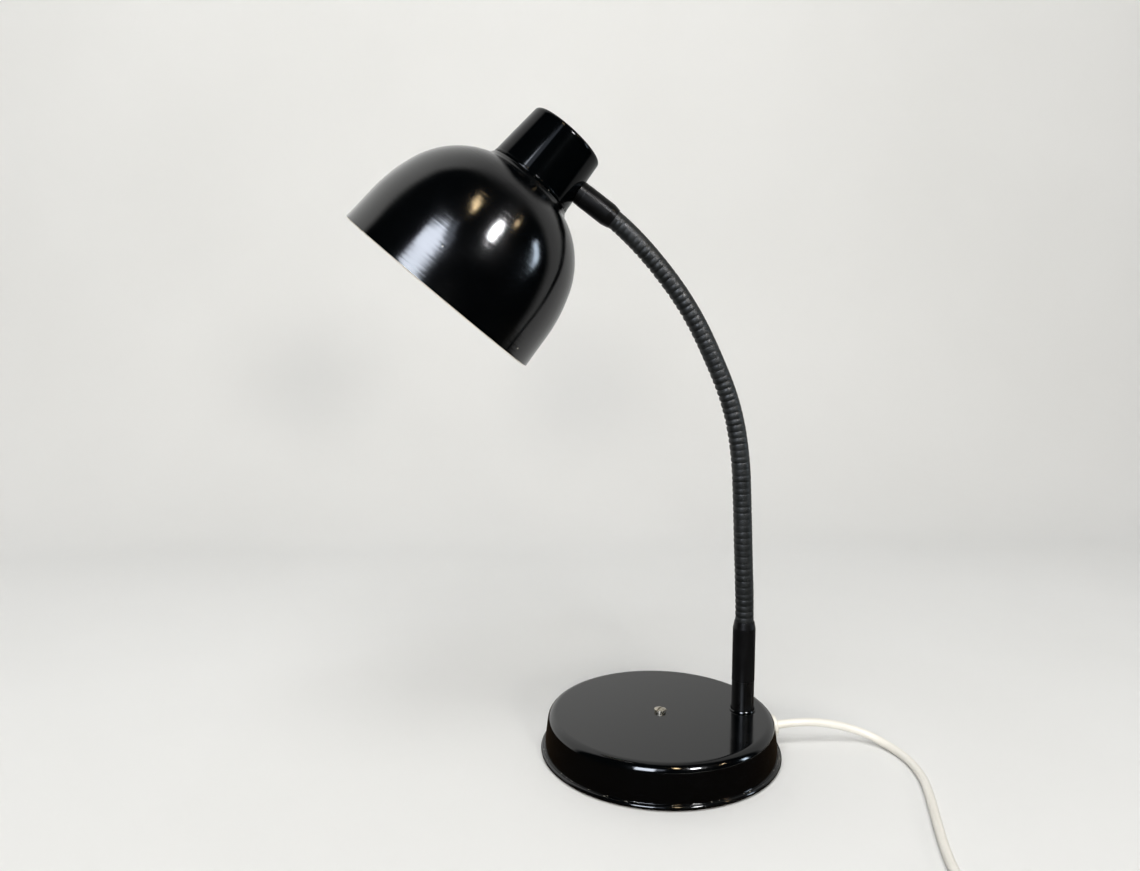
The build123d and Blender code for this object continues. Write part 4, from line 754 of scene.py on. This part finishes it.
worn_nickel, shader = start_material("worn_nickel_plate", "#c9c2b2", 0.3, Metallic=1.0)
place = add_node(worn_nickel, "ShaderNodeTexCoord").outputs["Object"]
stains = add_node(worn_nickel, "ShaderNodeTexNoise", {"Scale": 700, "Detail": 4},
                  {"Vector": place})
tone = add_mix(worn_nickel, "#7b7364", "#e2dccd", stains.outputs["Fac"])
shine = add_node(worn_nickel, "ShaderNodeMapRange", {"From Min": 0.3, "From Max": 0.7,
                 "To Min": 0.2, "To Max": 0.5}, {"Value": stains.outputs["Fac"]})
into(worn_nickel, shader, Base_Color=tone, Roughness=shine.outputs["Result"])
print("materials", ferrule_paint.name, worn_nickel.name)

# %% [markdown]
# Enamel gathers where the post meets the cover, and dries there in a thin glossy ring.  It is one
# more turned piece, open underneath, where the cover hides it.

# %% Paint round the post's foot
foot_line = Outline((7.4, COVER_H), 0)
foot_line.straight(0.75)
foot_line.bend(0.45, 122, 8)
foot_line.straight(0.62)
finish_piece(foot_line.spin(96), "foot_paint_ring", post_place, base_enamel, "base")

# %% [markdown]
# ## The parts that keep their shape
#
# Screws, nuts, holder, bulb, switch and plug already have their real shape.  They only need the
# finish of what they are made of.  Each material below starts from its base colour and one noise at
# the size of its own grain, which moves the colour, the gloss and the relief together.

# %% Plain finishes
def grained(name, dark, light, rough_low, rough_high, grain_mm, relief_mm, **sockets):
    """A material whose colour, gloss and relief follow one grain."""
    material, shader = start_material(name, light, rough_high, **sockets)
    place = add_node(material, "ShaderNodeTexCoord").outputs["Object"]
    grain = add_node(material, "ShaderNodeTexNoise", {"Scale": 1000 / grain_mm, "Detail": 4},
                     {"Vector": place})
    tone = add_mix(material, dark, light, grain.outputs["Fac"])
    shine = add_node(material, "ShaderNodeMapRange", {"From Min": 0.3, "From Max": 0.7,
                     "To Min": rough_low, "To Max": rough_high}, {"Value": grain.outputs["Fac"]})
    relief = add_node(material, "ShaderNodeBump", {"Strength": 0.5, "Distance": relief_mm * MM},
                      {"Height": grain.outputs["Fac"]})
    into(material, shader, Base_Color=tone, Roughness=shine.outputs["Result"],
         Normal=relief.outputs["Normal"])
    print("material", name)
    return material


# grey iron as it leaves the sand: coarse and dull
cast_iron = grained("sand_cast_iron", "#2c2b2a", "#5c5a57", 0.6, 0.85, 1.2, 0.25, Metallic=0.6)
# zinc plate on steel screws and sheet: bluish and streaked
zinc = grained("zinc_plated_steel", "#8b8f93", "#c3c7c9", 0.25, 0.45, 0.6, 0.02, Metallic=1.0)
brass = grained("rolled_brass", "#a8803c", "#d9b36a", 0.22, 0.4, 0.8, 0.02, Metallic=1.0)
# phenolic moulding: deep black, hard gloss with a flow grain
phenolic = grained("black_phenolic_moulding", "#0b0a09", "#1a1714", 0.18, 0.35, 2.5, 0.03,
                   IOR=1.6)
porcelain = grained("glazed_porcelain", "#dedad0", "#f1efe8", 0.08, 0.16, 6.0, 0.05, IOR=1.5)
lamp_cap = grained("nickelled_brass_cap", "#9c9990", "#d2d0c8", 0.25, 0.42, 1.5, 0.03,
                   Metallic=1.0)
solder = grained("tin_solder", "#8f8f8c", "#c4c4c0", 0.3, 0.5, 1.0, 0.06, Metallic=1.0)
# ABS mouldings of plug and switch: smooth, with the fine spark texture of their mould
abs_white = grained("moulded_white_abs", "#dfddd6", "#eceae4", 0.32, 0.46, 0.5, 0.02, IOR=1.54)
strap_white = grained("white_nylon_strap", "#d6d5d0", "#efeeea", 0.4, 0.6, 0.7, 0.05, IOR=1.53)
nylon = grained("natural_nylon", "#c9c6b4", "#dedbcb", 0.35, 0.5, 1.5, 0.03, IOR=1.53)
core_pvc = grained("brown_and_blue_core_pvc", "#2a1a52", "#5a2f14", 0.3, 0.45, 9.0, 0.02,
                   IOR=1.53)

# %% [markdown]
# An opal bulb is clear glass with a white silica coat inside: the coat scatters and the glass keeps
# its gloss.  Felt is pressed wool: it has no gloss at all, but a sheen of loose fibre at its edge.

# %% Opal glass and felt
opal, shader = start_material("opal_bulb_glass", "#f3f1ea", 0.12, IOR=1.5, Subsurface_Weight=0.25,
                              Subsurface_Scale=0.004)
place = add_node(opal, "ShaderNodeTexCoord").outputs["Object"]
coat = add_node(opal, "ShaderNodeTexNoise", {"Scale": 90, "Detail": 3}, {"Vector": place})
tone = add_mix(opal, "#efece2", "#f8f7f2", coat.outputs["Fac"])
shine = add_node(opal, "ShaderNodeMapRange", {"To Min": 0.08, "To Max": 0.18},
                 {"Value": coat.outputs["Fac"]})
into(opal, shader, Base_Color=tone, Roughness=shine.outputs["Result"])

felt, shader = start_material("pressed_wool_felt", "#141414", 0.95, Sheen_Weight=0.6,
                              Sheen_Roughness=0.5)
place = add_node(felt, "ShaderNodeTexCoord").outputs["Object"]
# fibre bundles of about 0.6 mm, drawn out along X
fibres = add_node(felt, "ShaderNodeMapping", {"Scale": (900, 1700, 1700)}, {"Vector": place})
wool = add_node(felt, "ShaderNodeTexNoise", {"Scale": 1.0, "Detail": 5, "Distortion": 1.5},
                {"Vector": fibres.outputs["Vector"]})
tone = add_mix(felt, "#0c0c0c", "#2b2a28", wool.outputs["Fac"])
relief = add_node(felt, "ShaderNodeBump", {"Strength": 0.9, "Distance": 0.0004},
                  {"Height": wool.outputs["Fac"]})
into(felt, shader, Base_Color=tone, Normal=relief.outputs["Normal"])
print("materials", opal.name, felt.name)

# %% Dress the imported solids
FINISHES = {
    "black_metal": ferrule_paint, "cast_iron": cast_iron, "zinc_steel": zinc,
    "nickel": worn_nickel, "felt": felt, "holder_black": phenolic, "holder_white": porcelain,
    "brass": brass, "bulb_white": opal, "bulb_metal": lamp_cap, "solder": solder,
    "cord_white": pvc_cord, "plug_white": abs_white, "tie_white": strap_white,
    "block_natural": nylon, "core_insulation": core_pvc, "sleeve_black": sleeve_pvc,
    "hose_black": hose_skin, "shade_enamel": shade_enamel, "base_enamel": base_enamel,
}
for subpart in frame["record"]["subparts"]:
    slots = nodes[subpart["node"]].data.materials
    slots.clear()
    slots.append(FINISHES[subpart["material_slot"]])

# %% [markdown]
# ## Floor, wall and light
#
# Black enamel has almost no colour of its own: what the eye reads is what it mirrors.  So what lights
# the floor and what the enamel mirrors are set apart, as a studio does with flags.  The enamel
# mirrors a room that is pale behind the lamp and dark in front of it, which gives a soft band along
# the outline, and a few windows and lamps in the dark half, which give the small highlights.  The
# floor and the wall are lit by soft lights that the enamel does not mirror.  Round the base it
# mirrors a dark card in place of the floor, as it would a dark table.

# %% Floor, wall and surround
def add_stage(mesh, name, material, mirrored=False):
    """Make a bmesh a piece of scenery, which the enamel mirrors only if that is said."""
    for face in mesh.faces:
        face.smooth = True
    data = bpy.data.meshes.new(name)
    mesh.to_mesh(data)
    mesh.free()
    data.materials.append(material)
    scenery = bpy.data.objects.new(name, data)
    scenery.visible_glossy = mirrored
    bpy.context.scene.collection.objects.link(scenery)
    print(name, len(data.polygons), "faces")
    return scenery


ROOM_HALF = 4
WALL_Y = 0.95
WALL_TOP = 3.4
pale_paint, shader = start_material("pale_wall_paint", "#e4e5e6", 0.9)
place = add_node(pale_paint, "ShaderNodeTexCoord").outputs["Object"]
plaster = add_node(pale_paint, "ShaderNodeTexNoise", {"Scale": 2.2, "Detail": 5},
                   {"Vector": place})
tone = add_mix(pale_paint, "#dfe0e0", "#eaebec", plaster.outputs["Fac"])
trowel = add_node(pale_paint, "ShaderNodeTexNoise", {"Scale": 45, "Detail": 4}, {"Vector": place})
relief = add_node(pale_paint, "ShaderNodeBump", {"Strength": 0.15, "Distance": 0.001},
                  {"Height": trowel.outputs["Fac"]})
into(pale_paint, shader, Base_Color=tone, Normal=relief.outputs["Normal"])

sweep_line = bmesh.new()
corner = [sweep_line.verts.new(point) for point in
          ((-ROOM_HALF, -ROOM_HALF, 0), (-ROOM_HALF, WALL_Y, 0), (-ROOM_HALF, WALL_Y, WALL_TOP))]
rails = [sweep_line.edges.new(pair) for pair in zip(corner, corner[1:])]
grown = bmesh.ops.extrude_edge_only(sweep_line, edges=rails)
across = [item for item in grown["geom"] if isinstance(item, bmesh.types.BMVert)]
bmesh.ops.translate(sweep_line, verts=across, vec=(2 * ROOM_HALF, 0, 0))
fold = [edge for edge in sweep_line.edges
        if all(abs(vert.co.y - WALL_Y) < 1e-6 and vert.co.z < 1e-6 for vert in edge.verts)]
bmesh.ops.bevel(sweep_line, geom=fold, offset=0.4, offset_type="OFFSET", affect="EDGES",
                segments=24, profile=0.5, material=-1)
add_stage(sweep_line, "floor_and_wall", pale_paint)

# far off all round, so that every side of the lamp is seen against something pale
haze, shader = start_material("pale_distance", "#000000", 0.5, Emission_Strength=0.95,
                              Emission_Color=linear("#e3e3e2"))
surround_mesh = bmesh.new()
bmesh.ops.create_uvsphere(surround_mesh, u_segments=48, v_segments=24, radius=7)
surround = add_stage(surround_mesh, "pale_surround", haze)
surround.visible_diffuse = surround.visible_shadow = surround.visible_transmission = False

# only the enamel sees this: round the base it mirrors a dark table
dark_top, shader = start_material("dark_table_card", "#000000", 0.5, Specular_IOR_Level=0,
                                  Emission_Strength=1.0, Emission_Color=linear("#33291f"))
card_mesh = bmesh.new()
bmesh.ops.create_circle(card_mesh, cap_ends=True, segments=64, radius=0.3)
card = add_stage(card_mesh, "dark_card", dark_top, mirrored=True)
card.visible_camera = card.visible_diffuse = card.visible_shadow = False
card.visible_transmission = False

# %% [markdown]
# The world is that mirrored room.  Its brightness depends on direction alone: bright where a ray
# goes away from the viewer, dark where it comes back, and paler at the left.

# %% Room that the enamel mirrors
room = bpy.data.worlds.new("pale_behind_and_dark_in_front")
bpy.context.scene.world = room
room.use_nodes = True
toward = add_node(room, "ShaderNodeTexCoord").outputs["Generated"]
parts = add_node(room, "ShaderNodeSeparateXYZ", links={"Vector": toward})
behind = add_node(room, "ShaderNodeMapRange", {"From Min": 0.03, "From Max": 0.17,
                  "To Min": 0.006, "To Max": 1.0}, {"Value": parts.outputs["Y"]})
left = add_node(room, "ShaderNodeMapRange", {"From Min": -0.35, "From Max": 0.25,
                "To Min": 1.15, "To Max": 0.64}, {"Value": parts.outputs["X"]})
walls = add_node(room, "ShaderNodeMath", operation="MULTIPLY",
                 links={0: behind.outputs["Result"], 1: left.outputs["Result"]})
sky = room.node_tree.nodes["Background"]
sky.inputs["Color"].default_value = linear("#f2f2f0")
room.node_tree.links.new(walls.outputs["Value"], sky.inputs["Strength"])
bpy.context.scene.view_settings.view_transform = "Standard"
print("room ready")

# %% [markdown]
# Each light has one task.  Three only light the floor, the wall and the cord.  Six are only mirrored:
# a tall window with a faint glow round it, two warm lamps, a round bright window and a narrow bluish
# one.  Their sizes set how large a highlight is, and their brightness how far it clips.

# %% Lights
LAMP_MIDDLE = Vector((-0.10, -0.06, 0.333))


def add_light(name, azimuth, elevation, distance, size, colour, brightness, mirrored):
    """A light that is either only mirrored or only lights; azimuth 0 is in front, 90 at the right."""
    turn, rise = math.radians(azimuth), math.radians(elevation)
    toward = Vector((math.sin(turn) * math.cos(rise), -math.cos(turn) * math.cos(rise),
                     math.sin(rise)))
    data = bpy.data.lights.new(name, "AREA")
    data.shape = "RECTANGLE"
    data.size, data.size_y = size
    data.energy = brightness * size[0] * size[1]
    data.color = linear(colour)[:3]
    light = bpy.data.objects.new(name, data)
    light.location = LAMP_MIDDLE + toward * distance
    light.rotation_mode = "QUATERNION"
    light.rotation_quaternion = toward.to_track_quat("Z", "Y")
    light.visible_glossy = mirrored
    light.visible_diffuse = not mirrored
    light.visible_camera = False
    bpy.context.scene.collection.objects.link(light)
    print(name, [round(x, 2) for x in light.location], round(data.energy, 1), "W")


# these two throw the head's two faint shadows on the wall
add_light("lamp_in_front", 20, 8, 2.4, (0.36, 0.36), "#fffaf2", 140, False)
add_light("window_in_front", -8, 10, 2.4, (0.5, 0.5), "#fff8ea", 66, False)
add_light("ceiling_bounce", -15, 62, 2.6, (2.2, 2.2), "#fffefb", 13.5, False)
# these are the highlights in the enamel, from left to right
add_light("wide_window", -22, 21, 2.4, (0.8, 1.38), "#eaf2ff", 62, True)
add_light("window_glow", -18, 27, 2.5, (1.25, 0.85), "#e2ecff", 8, True)
add_light("warm_pendant", 15.5, 50, 2.2, (0.15, 0.42), "#ffe1b0", 140, True)
add_light("round_window", 35, 23.5, 0.95, (0.13, 0.14), "#fbfcff", 560, True)
add_light("small_warm_lamp", 61, 28, 2.4, (0.14, 0.1), "#ffe0b0", 230, True)
add_light("blue_window", 78, 3, 2.4, (0.24, 0.74), "#d5e6f6", 58, True)
